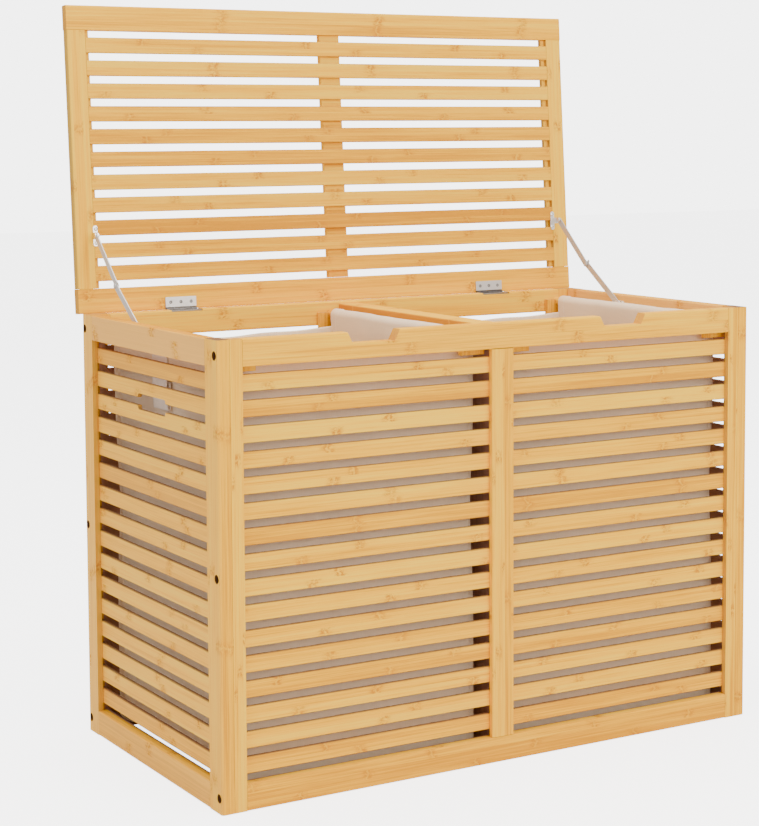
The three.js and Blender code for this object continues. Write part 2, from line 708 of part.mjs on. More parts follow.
function addStay(side, sign) {
  // Bracket on the lid, drawn with the lid upright: a plate, an ear, two screws and the rivet.
  const plate_y = underside - fit_gap;
  const pivot_y = underside - stay_drop;
  const half_plate = stay_plate_length / 2;
  const ear_far_s = ear_s + arm_sheet;
  const washer_far_s = upper_arm_s - fit_gap;
  const screw_x_s = ear_s + (arm_sheet + stay_plate_width) / 2;
  const [plate_low_x, plate_high_x] = layer(sign, ear_s, ear_s + stay_plate_width);
  const plate_low = [stay_reach - half_plate, plate_low_x];
  const plate_high = [stay_reach + half_plate, plate_high_x];
  const bracket = [
    extrusion(stayPlate(plate_low, plate_high), 'y', plate_y - stay_plate_sheet, stay_plate_sheet),
    sideBlock(sign, ear_s, ear_far_s,
      [pivot_y, stay_reach - arm_width / 2], [plate_y, stay_reach + arm_width / 2]),
    sidePin(sign, [pivot_y, stay_reach], arm_width / 2, ear_s, ear_far_s),
    sidePin(sign, [pivot_y, stay_reach], rivet_radius, ear_far_s - weld, ear_far_s + rivet_head),
    sidePin(sign, [pivot_y, stay_reach], stay_pin_radius, washer_far_s - weld, ear_s + weld),
    sidePin(sign, [pivot_y, stay_reach], rivet_radius, washer_far_s - rivet_head, washer_far_s),
  ];
  for (const step of stay_screw_steps) {
    const centre = [stay_reach + step, sign * (half_width - screw_x_s)];
    bracket.push(roundBar(centre, stay_screw_radius, 'y', plate_y - weld,
      weld + stay_screw_length - fit_gap, screw_sides));
    bracket.push(roundBar(centre, stay_screw_head_radius, 'y',
      plate_y - stay_plate_sheet - stay_screw_head, stay_screw_head + weld));
  }
  place(lid, `${side}_stay_lid_bracket`, joined(bracket), steel);

  const upper = group(hamper, 0, lid_pivot.x, lid_pivot.y);
  upper.rotation.x = elbow.clone().sub(lid_pivot).angle();
  place(upper, `${side}_stay_upper_arm`, arm(sign, upper_arm_s, upper_arm_s + arm_sheet - weld), steel);

  const lower = group(hamper, 0, foot_pivot.x, foot_pivot.y);
  lower.rotation.x = elbow.clone().sub(foot_pivot).angle();
  const tab = sideBlock(sign, lower_arm_s, lower_arm_s + arm_sheet,
    [arm_length - elbow_tab, 0], [arm_length, arm_width / 2 + elbow_tab]);
  place(lower, `${side}_stay_lower_arm`,
    arm(sign, lower_arm_s, lower_arm_s - rivet_head).add(tab), steel);

  // Pivot plate on the end panel: a plate, two screws, a shoulder and the rivet.
  const foot = group(hamper, 0, foot_pivot.x, foot_pivot.y);
  const plate_far_s = foot_s + stay_plate_sheet;
  const [foot_low_x, foot_high_x] = layer(sign, foot_s, plate_far_s);
  const half_plate_width = stay_plate_width / 2;
  const foot_plate = stayPlate([-half_plate, -half_plate_width], [half_plate, half_plate_width]);
  const foot_pieces = [
    extrusion(foot_plate, 'x', foot_low_x, foot_high_x - foot_low_x),
    sidePin(sign, [0, 0], rivet_radius, plate_far_s - weld, plate_far_s + stay_standoff),
    sidePin(sign, [0, 0], stay_pin_radius, plate_far_s, upper_arm_s + weld),
    sidePin(sign, [0, 0], rivet_radius, upper_arm_s, upper_arm_s + rivet_head),
  ];
  for (const step of stay_screw_steps) {
    foot_pieces.push(sidePin(sign, [step, 0], stay_screw_radius,
      end_board - stay_screw_length + fit_gap, foot_s + weld, screw_sides));
    foot_pieces.push(sidePin(sign, [step, 0], stay_screw_head_radius,
      plate_far_s - weld, plate_far_s + stay_screw_head));
  }
  place(foot, `${side}_stay_foot`, joined(foot_pieces), steel);
}

addEndPanel('left_end', -1);
addEndPanel('right_end', 1);
addFrontWall();
addBackWall();
addDivider();
addBins();
addLidPanel();
addHinges();
addStay('left', -1);
addStay('right', 1);

export default hamper;
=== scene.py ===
"""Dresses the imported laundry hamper: bamboo, cloth bags on rods, plated steel fittings, floor and light.

Everything is in metres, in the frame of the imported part: +Z up, +X to the right of someone in front,
+Y to the back, the origin on the floor in the middle of the chest.
"""

import json
import math

import bpy
import numpy as np
from bpy.props import FloatProperty, FloatVectorProperty, IntProperty, PointerProperty
from bpy.types import Operator, Panel, PropertyGroup
from mathutils import Matrix, Vector


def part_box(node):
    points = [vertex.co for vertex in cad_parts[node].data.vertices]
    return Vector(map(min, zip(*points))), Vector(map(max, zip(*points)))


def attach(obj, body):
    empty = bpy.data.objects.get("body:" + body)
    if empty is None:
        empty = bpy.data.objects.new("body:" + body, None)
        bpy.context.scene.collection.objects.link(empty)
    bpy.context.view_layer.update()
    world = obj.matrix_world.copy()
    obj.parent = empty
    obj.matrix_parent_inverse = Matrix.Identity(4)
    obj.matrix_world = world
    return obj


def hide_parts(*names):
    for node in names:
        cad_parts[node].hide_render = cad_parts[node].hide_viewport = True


bl_info = {
    "name": "Two-Bin Laundry Hamper",
    "version": (1, 0, 0),
    "blender": (4, 5, 0),
    "location": "View3D > Sidebar > Hamper",
    "description": "Builds the looks of a slatted bamboo laundry hamper round its packed solids",
    "category": "Object",
}

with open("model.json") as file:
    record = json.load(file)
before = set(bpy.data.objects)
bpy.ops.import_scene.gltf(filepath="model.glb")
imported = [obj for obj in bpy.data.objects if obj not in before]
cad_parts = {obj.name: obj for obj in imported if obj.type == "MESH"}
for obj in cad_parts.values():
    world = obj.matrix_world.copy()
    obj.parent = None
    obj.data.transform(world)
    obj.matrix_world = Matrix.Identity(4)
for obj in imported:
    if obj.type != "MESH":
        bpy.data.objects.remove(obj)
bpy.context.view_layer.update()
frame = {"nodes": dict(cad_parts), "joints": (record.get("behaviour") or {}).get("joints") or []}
NODES = frame["nodes"]

CHEST = "chest"
LID = "lid"
SIDES = {"left": -1, "right": 1}
ROD_NODES = {side: (f"{side}_bin_outer_rod", f"{side}_bin_inner_rod") for side in SIDES}

# The hinges' axis and how far the open lid leans back, from the record's joint

LID_HINGE = next(joint for joint in frame["joints"] if joint["name"] == "lid_hinge")
HINGE = tuple(LID_HINGE["pos_m"])
LEAN = math.radians(LID_HINGE["range_deg"][1] - 90)

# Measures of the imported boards: lid measures are from the hinges' axis

BOARD = 0.03
BATTEN_HALF = 0.0151
FIRST_GAP = 0.0344706
SLAT_PITCH = 0.0279412
TOP_RAIL = 0.486
MIDDLE_STILE_Y = 0.18
STILE_EDGE_Y = 0.157
LID_FIRST_GAP = 0.0346792
LID_PITCH = 0.0279583
LID_BATTEN_Y = 0.0067
INSIDE = {"x": 0.3534, "y": 0.1754}
INSIDE_TOP = 0.4855

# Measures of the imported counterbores, knuckles and fittings, and of the screws' heads

BORE_X = (0.3594, 0.3646)
BORE_Y = 0.1795
BORE_Z = (0.017, 0.258, 0.499)
BORE_HALF = 0.0057
BORE_FLOOR = 0.362
KNUCKLE = 0.0032
LEAF_FACE = 0.00035
LEAF_SCREWS = 0.0092
LEAF_STEPS = (-0.014, 0, 0.014)
BRACKET_FACE = -0.00025
BRACKET_MIDDLE = 0.095
BRACKET_INSET = 0.0024
FOOT_FACE = 0.3481
PLATE_STEPS = (-0.0085, 0.0085)
HEAD_GRID = 25
HEAD_WALL = 0.0004
LEAF_HEAD = {"radius": 0.0022, "rise": 0.00012}
PLATE_HEAD = {"radius": 0.0023, "rise": 0.0006}
BORE_HEAD = {"radius": 0.0031, "rise": 0.0004}

# Measures of the bags' sewing

BAG_INSET = 0.0007
BAG_BEND = 0.012
FLOOR_MARGIN = 0.0022
SIDE_OVERLAP = 0.018
TUNNEL_RADIUS = 0.0074
TUNNEL_SEAM = 0.004
TUNNEL_ROOM = 0.0006
TURNED_END = 0.0135
HEM_TALL = 0.019
HEM_SEAM = 0.0165
STRAP_WIDE = 0.040
STRAP_Y = 0.019
STRAP_LOW = 0.4185
STRAP_OUT = 0.0042
STRAP_FOLD = 0.0015
STRAP_FLARE = 0.0014
STRAP_THICK = 0.0012
STRAP_TOP = 0.012
STRAP_SEAMS = (0.015, 0.022)
STRAP_SEAM_WIDE = 0.036
THREAD_RADIUS = 0.00028
THREAD_RISE = 0.00015

# The bamboo: strips under this are uneven, and a culm joint's half width, its ring's and its waviness

NARROW_STRIP = 0.012
JOINT_WIDE = 0.0072
RING_WIDE = 0.0012
JOINT_WAVE = 0.016

# A bag's panels, anticlockwise from above

FRONT, RIGHT, BACK, LEFT = range(4)

# Soft boxes: the place, the height that they are aimed at over the origin, the size and the power

SOFT_BOXES = {
    "key": ((0.6, -3.2, 1.9), 0.4, 2.4, 98),
    "left": ((-3.0, -0.8, 1.6), 0.35, 2.0, 20),
    "top": ((-0.2, 0.1, 3.0), 0.4, 2.4, 102),
}


# Shader expressions


def maths(operation, swapped=False):
    """A method of Field that adds one Math node. A reflected form has its operands swapped."""

    def method(self, *others):
        values = (*others, self) if swapped else (self, *others)
        return self.shader.node("Math", {"operation": operation}, values)

    return method


class Field:
    """What varies over a surface: a socket whose operators add Math nodes."""

    def __init__(self, shader, socket):
        self.shader = shader
        self.socket = socket

    __add__ = maths("ADD")
    __radd__ = maths("ADD", swapped=True)
    __sub__ = maths("SUBTRACT")
    __rsub__ = maths("SUBTRACT", swapped=True)
    __mul__ = maths("MULTIPLY")
    __rmul__ = maths("MULTIPLY", swapped=True)
    __truediv__ = maths("DIVIDE")
    __pow__ = maths("POWER")
    __rpow__ = maths("POWER", swapped=True)
    __abs__ = maths("ABSOLUTE")
    __lt__ = maths("LESS_THAN")
    __gt__ = maths("GREATER_THAN")
    floor = maths("FLOOR")
    fraction = maths("FRACT")
    sine = maths("SINE")

    def __neg__(self):
        return self * -1.0

    def clamped(self):
        return self.shader.node("Clamp", {}, (self,))


class Shader:
    """The nodes of a material or of a world, and the shader that they feed."""

    def __init__(self, owner, surface="Principled BSDF", **constants):
        owner.use_nodes = True
        self.owner = owner
        self.tree = owner.node_tree
        self.surface = self.tree.nodes[surface]
        self.finish(**constants)

    def node(self, kind, settings=None, inputs=(), output=0):
        """One node: its type, its settings, which are set first, and the values or links of its sockets."""
        made = self.tree.nodes.new("ShaderNode" + kind)
        for name, value in (settings or {}).items():
            if name == "stops":
                self.set_stops(made.color_ramp, value)
            else:
                setattr(made, name, value)
        items = inputs.items() if isinstance(inputs, dict) else enumerate(inputs)
        for key, value in items:
            self.feed(made.inputs[key], value)
        return Field(self, made.outputs[output])

    @staticmethod
    def set_stops(ramp, stops):
        while len(ramp.elements) < len(stops):
            ramp.elements.new(0.5)
        for element, (place, colour) in zip(ramp.elements, stops):
            element.position = place
            element.color = (*colour, 1)

    def feed(self, socket, value):
        if isinstance(value, Field):
            self.tree.links.new(value.socket, socket)
        elif socket.type == "RGBA" and len(value) == 3:
            socket.default_value = (*value, 1)
        else:
            socket.default_value = value

    def split(self, point, axes="XYZ"):
        return [self.node("SeparateXYZ", inputs=(point,), output=axis) for axis in axes]

    def place(self, turn=0.0, about=(0, 0, 0)):
        """Object coordinates as three fields, turned about an axis along X."""
        point = self.node("TexCoord", output="Object")
        if turn:
            shift = -(Matrix.Rotation(turn, 3, "X") @ Vector(about))
            inputs = {"Vector": point, "Location": shift, "Rotation": (turn, 0, 0)}
            point = self.node("Mapping", {"vector_type": "POINT"}, inputs)
        return self.split(point)

    def noise(self, x, y, z, detail=2.0, roughness=0.5):
        point = self.node("CombineXYZ", inputs=(x, y, z))
        inputs = {"Vector": point, "Scale": 1.0, "Detail": detail, "Roughness": roughness}
        return self.node("TexNoise", {"noise_dimensions": "3D"}, inputs)

    def random(self, value):
        return self.node("TexWhiteNoise", {"noise_dimensions": "1D"}, {"W": value})

    def mix(self, factor, a, b):
        return self.node("Mix", {"data_type": "RGBA"}, {0: factor, 6: a, 7: b}, output=2)

    def ramp(self, factor, stops):
        return self.node("ValToRGB", {"stops": stops}, (factor,))

    def bump(self, height, strength, distance):
        inputs = {"Strength": strength, "Distance": distance, "Height": height}
        return self.node("Bump", inputs=inputs)

    def finish(self, **sockets):
        """Set or link the shader's own sockets, and give back the material or world."""
        for socket, value in sockets.items():
            self.feed(self.surface.inputs[socket.replace("_", " ")], value)
        return self.owner


# Sizes and colours that a user would change


def colour_setting(name, description, default):
    return FloatVectorProperty(
        name=name, description=description, subtype="COLOR", size=3, min=0, max=1, default=default
    )


def length_setting(name, description, default, lowest, highest):
    return FloatProperty(
        name=name, description=description, unit="LENGTH", min=lowest, max=highest, default=default
    )


def drops_setting(name, description, default):
    """Two lengths, both downwards."""
    return FloatVectorProperty(
        name=name, description=description, unit="LENGTH", size=2, min=0, max=0.08, default=default
    )


def number_setting(name, description, default, highest):
    return FloatProperty(name=name, description=description, min=0, max=highest, default=default)


class BambooSettings(PropertyGroup):
    light: colour_setting("Light strips", "Colour of the palest bamboo", (0.97, 0.55, 0.03))
    middle: colour_setting("Body", "Colour of most of the bamboo", (0.96, 0.452, 0.01))
    deep: colour_setting("Deep strips", "Colour of the darkest strips", (0.72, 0.29, 0.006))
    joint: colour_setting(
        "Culm joints", "Colour of the marks where the cane had its joints", (0.62, 0.215, 0.008)
    )
    end_grain: colour_setting("End grain", "Colour of sawn ends", (0.50, 0.23, 0.05))
    # Painted light: faces that look along X, the end panels' sides, lean to this paler colour by their
    # flanks share.
    pale: colour_setting(
        "End panels", "Paler colour towards which the end panels lean", (0.95, 0.51, 0.13)
    )
    # Painted shade: the faces that look into the chest, below its top rails, lean to this colour.
    inside_shade: colour_setting(
        "Inside", "Colour of the faces that look into the chest", (0.36, 0.175, 0.115)
    )
    # Painted shade: the boards' faces that look along one axis, the slats' tops and undersides and the
    # stiles' sides in the gaps, lean to this colour.
    shade: colour_setting(
        "Edges",
        "Colour of the boards' sawn edges, where fibres were cut and dust settles",
        (0.15, 0.075, 0.05),
    )
    # Painted shade: deep in the counterbores the bamboo leans to this colour.
    bore_shade: colour_setting("Counterbores", "Colour deep in the counterbores", (0.13, 0.055, 0.022))
    joint_spacing: length_setting(
        "Joint spacing", "Mean distance between two culm joints of one strip", 0.23, 0.05, 0.6
    )


class ClothSettings(PropertyGroup):
    colour: colour_setting("Cloth", "Colour of the bags' cloth", (0.94, 0.71, 0.455))
    # Painted light: the straps' webbing is paler than the cloth, for the light that they catch at the grip
    # holes.
    webbing: colour_setting("Webbing", "Colour of the carrying straps", (0.97, 0.80, 0.64))
    thread: colour_setting("Thread", "Colour of the seams' thread", (0.94, 0.78, 0.60))
    thickness: length_setting("Thickness", "Thickness of one layer of cloth", 0.0011, 0.0004, 0.003)
    yarn: length_setting("Yarn pitch", "Distance between two yarns of the weave", 0.0012, 0.0003, 0.004)
    front_rim: drops_setting(
        "Front rim",
        "Rods' axes down to the front rim: at its corners, and how far it hangs in the middle",
        (0.0085, 0.003),
    )
    back_rim: drops_setting(
        "Back rim",
        "Rods' axes down to the back rim: at its corners, and how far it hangs in the middle",
        (0.0155, 0.005),
    )
    tunnel_drop: length_setting(
        "Tunnel drop", "Rods' axes down to the seam under the rod tunnel", 0.052, 0.02, 0.1
    )
    flange: length_setting(
        "Corner flange",
        "Width of the seam allowance that stands out at the upright corners",
        0.0065,
        0.002,
        0.012,
    )
    stitch: length_setting("Stitch pitch", "Distance between two stitches", 0.0036, 0.0015, 0.01)


class SteelSettings(PropertyGroup):
    colour: colour_setting("Plating", "Colour of the plated steel", (0.62, 0.59, 0.55))
    # Painted shade: the screws deep in the counterbores are coloured dark brown.
    screw: colour_setting(
        "Dark screws", "Colour of the screws in the counterbores", (0.10, 0.055, 0.03)
    )
    roughness: number_setting("Roughness", "Roughness of the plated steel", 0.3, 1)
    recess_depth: length_setting(
        "Recess depth", "Depth of the cross recess in a screw's head", 0.0007, 0, 0.002
    )


class StageSettings(PropertyGroup):
    floor: colour_setting("Floor", "Colour of the floor", (0.80, 0.80, 0.80))
    light: number_setting("Surrounding light", "Strength of the even light from all round", 0.95, 10)
    backdrop: number_setting("Backdrop", "Brightness of the backdrop as the camera sees it", 5.2, 10)
    glow: number_setting(
        "Floor glow",
        "Light of the floor's own that only the camera sees, to make it as pale as the backdrop",
        3.95,
        10,
    )
    seed: IntProperty(name="Seed", description="Seed of the bags' folds", default=7, min=0)


SETTINGS = {
    "hamper_bamboo": BambooSettings,
    "hamper_cloth": ClothSettings,
    "hamper_steel": SteelSettings,
    "hamper_stage": StageSettings,
}


# Meshes

join = np.concatenate


def grid_of(*parts):
    """Points from their coordinates, each of which is spread over the grid that all of them span."""
    return np.stack(np.broadcast_arrays(*parts), -1)


def distances(*steps):
    """How far each point lies along a line, from its steps along each axis."""
    return join([[0], np.cumsum(np.hypot(*steps))])


def grid_faces(rows, columns, wrap=False):
    """Quads of a grid of points, row by row, whose last column meets the first when it wraps."""
    i = np.arange(rows - 1)[:, None]
    j = np.arange(columns if wrap else columns - 1)[None, :]
    k = (j + 1) % columns
    first = i * columns
    quads = [first + j, first + k, first + columns + k, first + columns + j]
    return np.stack(quads, axis=-1).reshape(-1, 4)


def mesh_object(name, points, faces, uv=None):
    """A mesh from an array of points and an array of quads, with one UV per corner where given."""
    mesh = bpy.data.meshes.new(name)
    mesh.vertices.add(len(points))
    mesh.vertices.foreach_set("co", np.asarray(points, np.float32).ravel())
    mesh.loops.add(faces.size)
    mesh.loops.foreach_set("vertex_index", faces.astype(np.int32).ravel())
    mesh.polygons.add(len(faces))
    mesh.polygons.foreach_set("loop_start", np.arange(0, faces.size, 4, dtype=np.int32))
    mesh.polygons.foreach_set("use_smooth", np.ones(len(faces), bool))
    mesh.update(calc_edges=True)
    if uv is not None:
        layer = mesh.uv_layers.new(name="Cloth")
        layer.data.foreach_set("uv", np.asarray(uv, np.float32)[faces].ravel())
    mesh.validate()
    piece = bpy.data.objects.new(name, mesh)
    bpy.context.scene.collection.objects.link(piece)
    return piece


def sheet_object(name, points, uv):
    """A sheet from a grid of points (rows, columns, 3) and its UV (rows, columns, 2)."""
    faces = grid_faces(*points.shape[:2])
    return mesh_object(name, points.reshape(-1, 3), faces, uv.reshape(-1, 2))


def thicken(piece, thickness, offset=0.0):
    solid = piece.modifiers.new("Thickness", "SOLIDIFY")
    solid.thickness = thickness
    solid.offset = offset
    solid.use_rim = True


def dress(piece, body, material):
    piece.data.materials.append(material)
    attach(piece, body)
    return piece


def smooth(t):
    """Smooth step: 3t^2 - 2t^3 of t limited to 0 to 1."""
    t = np.clip(t, 0, 1)
    return t * t * (3 - 2 * t)


def folds(a, b, seed, waves=6):
    """Soft folds over a panel, about -1 to 1: a sum of sine waves in a whose phase drifts with b."""
    rng = np.random.default_rng(seed)
    total = np.zeros(np.broadcast(a, b).shape)
    for k in range(1, waves + 1):
        phase, drift, lean = rng.uniform(0, 2 * np.pi, 2), *rng.uniform(-1, 1, 2)
        wave = np.sin(2 * np.pi * k * a * 0.9 + phase[0] + 2.2 * lean * b)
        total += wave * np.cos(phase[1] + np.pi * b * (1 + drift)) / k**0.8
    return total / 2.2


def box_middle(node):
    """The middle of a node's box."""
    return [(low + high) / 2 for low, high in zip(*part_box(node))]


# Materials


def scaled(colour, factor):
    return tuple(part * factor for part in colour)


def bell(distance, width):
    """A bell curve: e to the power of -(distance / width)^2."""
    return math.e ** (-(distance * distance) / width**2)


def inside_chest(axes):
    """1 on the faces that look into the chest, below its top rails, which painted shade darkens, 0
    elsewhere.
    """
    return (axes["z"] < INSIDE_TOP) * (abs(axes["x"]) < INSIDE["x"]) * (abs(axes["y"]) < INSIDE["y"])


def counterbores(axes):
    """1 inside the counterbores of the end panels, which painted shade darkens, 0 elsewhere."""
    depth = abs(axes["x"])
    hole = (depth < BORE_X[1]) * (depth > BORE_X[0]) * (abs(abs(axes["y"]) - BORE_Y) < BORE_HALF)
    rows = [abs(axes["z"] - z) < BORE_HALF for z in BORE_Z]
    return hole * (rows[0] + rows[1] + rows[2])


def bamboo_material(
    name, seed, grain, across, strip, origin=0.0, plies=1, tone=0.0, turn=0.0, about=(0, 0, 0),
    flanks=0.0, flank_colour="pale", edges=None, batten=None, bored=False, inside_shade=False,
):
    """Lacquered bamboo. Strips lie side by side along one axis and their fibres run along another.

    A strip's number sets its tone, and each of the plies that it is glued from has a tone and culm
    joints of its own. Fibres are noise drawn out along the grain. A joint is a bell curve of the
    distance to the joint's wavy line, broken up by mottling, with a light line in its middle. Narrow
    strips are uneven in width and differ less. Faces that look along X lean to flank_colour by
    flanks: paler as painted light on the end panels' sides, darker as painted shade on the divider's
    rails. edges is an axis and a share: faces that look along it lean to the edges' colour by the
    share, as painted shade. batten gives a mask: there the grain runs along Z instead, the strips are
    narrow, and depth and edge deepen the tone, all over and on the faces that look along Y.
    inside_shade darkens the faces inside the chest, and bored the counterbores, both as painted
    shade.
    """
    settings = bpy.context.scene.hamper_bamboo
    shader = Shader(bpy.data.materials.new(name), Specular_IOR_Level=0.07)
    axes = dict(zip("xyz", shader.place(turn, about)))
    facings = shader.split(shader.node("TexCoord", output="Normal"))
    normals = {axis: abs(facing) for axis, facing in zip("xyz", facings)}
    (third,) = {"x", "y", "z"} - {grain, across}
    along, side, deep, facing = axes[grain], axes[across], axes[third], normals[grain]
    narrow = 1.0 if strip < NARROW_STRIP else 0.0
    deepen = 0.0
    if batten:
        narrow = batten["mask"](axes)
        along, side = along + (axes["z"] - along) * narrow, side + (axes[grain] - side) * narrow
        strip = (batten["strip"] - strip) * narrow + strip
        facing = facing + (normals["z"] - facing) * narrow
        deepen = narrow * (normals["y"] * batten.get("edge", 0.0) + batten.get("depth", 0.0))
    place = (side - origin) / strip + (side * 431.0).sine() * (narrow * 0.27)
    number = place.floor()
    ply = (place.fraction() * plies).floor() * (1 - narrow)
    board = shader.random(number * 1.37 + seed * 11.3)
    first = shader.random(number * 1.93 + ply * 7.7 + (seed * 3.1 + 17.0))
    second = shader.random(number * 2.71 + ply * 3.3 + (seed * 5.9 + 40.0))

    def fibres(stretch, shift, pitch, detail, roughness):
        return shader.noise(along * stretch + shift, side * pitch, deep * pitch, detail, roughness)

    fine = fibres(11, second * 37, 900, 4.0, 0.7)
    streak = fibres(4, first * 23, 300, 3.0, 0.6)
    slow = shader.noise(along * 5.0 + second * 19, side * 40 + number, deep * 9)

    spacing = settings.joint_spacing
    wobble = shader.noise(side * 110, deep * 110, number * 3.3)
    phase = (along / spacing + first * 7.7).fraction() - 0.5
    distance = phase * spacing + (wobble - 0.5) * JOINT_WAVE
    mottle = shader.noise(along * 210, side * 420, deep * 420 + number, 3.0, 0.75)
    patch = shader.noise(along * 60, side * 90, number * 5.1, 1.0)
    joint = bell(distance, JOINT_WIDE) * ((mottle - 0.40) * 5.5).clamped() * (patch * 2.1)
    joint = joint.clamped()
    ring = bell(distance, RING_WIDE) * patch * 0.9

    level = (
        0.36
        - tone
        + (board**4.0 * 0.6 + (second - 0.5) * 0.3) * (1 - narrow * 0.55)
        + (streak - 0.5) * 1.3
        + (fine - 0.5) * 1.5
        + (slow - 0.5) * 0.5
        + deepen
    )
    stops = [(0.1, settings.light), (0.45, settings.middle), (0.9, settings.deep)]
    colour = shader.ramp(level.clamped(), stops)
    # Painted light and shade: faces that look along X lean to flank_colour, paler on the end panels' sides
    # and the joints' colour on the divider's rails.
    if flanks:
        colour = shader.mix(normals["x"] * flanks, colour, getattr(settings, flank_colour))
    colour = shader.mix(((fine - 0.56) * 6.0).clamped() * 0.3, colour, settings.deep)
    colour = shader.mix(joint, colour, settings.joint)
    colour = shader.mix(ring, colour, settings.light)
    sawn = ((facing - 0.75) * 6.0).clamped()
    pores = shader.noise(side * 900, deep * 900, along * 60)
    end = shader.mix(((pores - 0.45) * 4.0).clamped() * 0.5, settings.end_grain, settings.joint)
    colour = shader.mix(sawn * 0.75, colour, end)
    # Painted shade: faces that look along the given axis lean to the edges' colour.
    if edges:
        axis, share = edges
        colour = shader.mix(normals[axis] * share, colour, settings.shade)
    # Painted shade: the faces inside the chest are darkened.
    if inside_shade:
        colour = shader.mix(inside_chest(axes) * 0.93, colour, settings.inside_shade)
    # Painted shade: the counterbores are darkened.
    if bored:
        colour = shader.mix(counterbores(axes), colour, settings.bore_shade)
    return shader.finish(
        Base_Color=colour,
        Roughness=0.42 + streak * 0.14 + sawn * 0.2 + joint * 0.08,
        Normal=shader.bump(fine * 0.6 + joint * 0.5 + streak * 0.2, 0.3, 0.00025),
    )


def cloth_material(name, base):
    """Plain-woven cotton: two families of yarns along U and V, slubs, and slow unevenness."""
    shader = Shader(bpy.data.materials.new(name), Sheen_Weight=0.25, Sheen_Roughness=0.6)
    u, v = shader.split(shader.node("UVMap", {"uv_map": "Cloth"}), "XY")
    turns = 2 * math.pi / bpy.context.scene.hamper_cloth.yarn
    weave = (u * turns).sine() * (v * turns).sine()
    slub_u = shader.noise(u * 60, v * 900, 1.0, 3.0, 0.6)
    slub_v = shader.noise(u * 900, v * 60, 7.0, 3.0, 0.6)
    uneven = shader.noise(u * 14, v * 14, 3.0, 3.0)
    slub = (slub_u + slub_v) * 0.5
    factor = ((slub - 0.5) * 1.6 + (uneven - 0.5) * 0.9 + weave * 0.08 + 0.35).clamped()
    return shader.finish(
        Base_Color=shader.mix(factor, base, scaled(base, 0.84)),
        Roughness=0.86 + (slub - 0.5) * 0.2,
        Normal=shader.bump(weave * 0.5 + slub * 1.2, 0.4, 0.0003),
    )


def thread_material(base):
    """Twisted thread: fine bands of light and shade."""
    shader = Shader(bpy.data.materials.new("sewing_thread"), Sheen_Weight=0.3)
    x, y, z = shader.place()
    ply = ((x + y + z) * 2200.0).sine()
    return shader.finish(
        Base_Color=shader.mix((ply * 0.5 + 0.5) * 0.3, base, scaled(base, 0.7)),
        Roughness=0.7 + ply * 0.1,
        Normal=shader.bump(ply, 0.3, 0.0002),
    )


def steel_material(name, colour, roughness, brush, pin=None, metallic=1.0):
    """Plated sheet steel: faint rolling lines along one axis, and cloudy plating.

    pin is the Y and Z of a hinge's axis: round it the knuckles are darkened as painted shade, and below it
    the leaf that lies in the mortise is darkened as painted shade too.
    """
    shader = Shader(bpy.data.materials.new(name), Metallic=metallic)
    x, y, z = shader.place()
    fast = [60 if axis == brush else 2600 for axis in "xyz"]
    lines = shader.noise(x * fast[0], y * fast[1], z * fast[2], 3.0, 0.6)
    cloud = shader.noise(x * 160, y * 160, z * 160, 3.0)
    tint = shader.mix(((cloud - 0.4) * 1.5).clamped() * 0.35, colour, scaled(colour, 0.72))
    if pin:
        off_y, off_z = y - pin[0], z - pin[1]
        # Painted shade: the leaf below the axis, in the mortise, is darkened, and so are the knuckles,
        # streaked by the rolling lines.
        knuckles = (off_y * off_y + off_z * off_z) < KNUCKLE**2
        knuckle_shade = ((lines - 0.35) * 3.0).clamped() * 0.14 + 0.84
        tint = shader.mix((off_z < 0.0) * 0.6, tint, (0.09, 0.07, 0.055))
        tint = shader.mix(knuckles * knuckle_shade, tint, (0.07, 0.055, 0.045))
    return shader.finish(
        Base_Color=tint,
        Roughness=roughness + (lines - 0.5) * 0.2 + (cloud - 0.5) * 0.15,
        Normal=shader.bump(lines, 0.15, 0.0001),
    )


def partition_material():
    """Thin stained board: upright grain in brown, matt."""
    shader = Shader(bpy.data.materials.new("stained_board"))
    x, y, z = shader.place()
    grain = shader.noise(x * 300, y * 240, z * 5, 4.0, 0.6)
    board = shader.noise(x * 9, y * 22, z * 1.2, 3.0)
    stops = [(0.25, (0.78, 0.44, 0.28)), (0.55, (0.64, 0.34, 0.21)), (0.85, (0.48, 0.24, 0.15))]
    return shader.finish(
        Base_Color=shader.ramp((grain * 0.6 + board * 0.5).clamped(), stops),
        Roughness=0.55 + grain * 0.2,
        Normal=shader.bump(grain, 0.3, 0.0003),
    )


# Operators


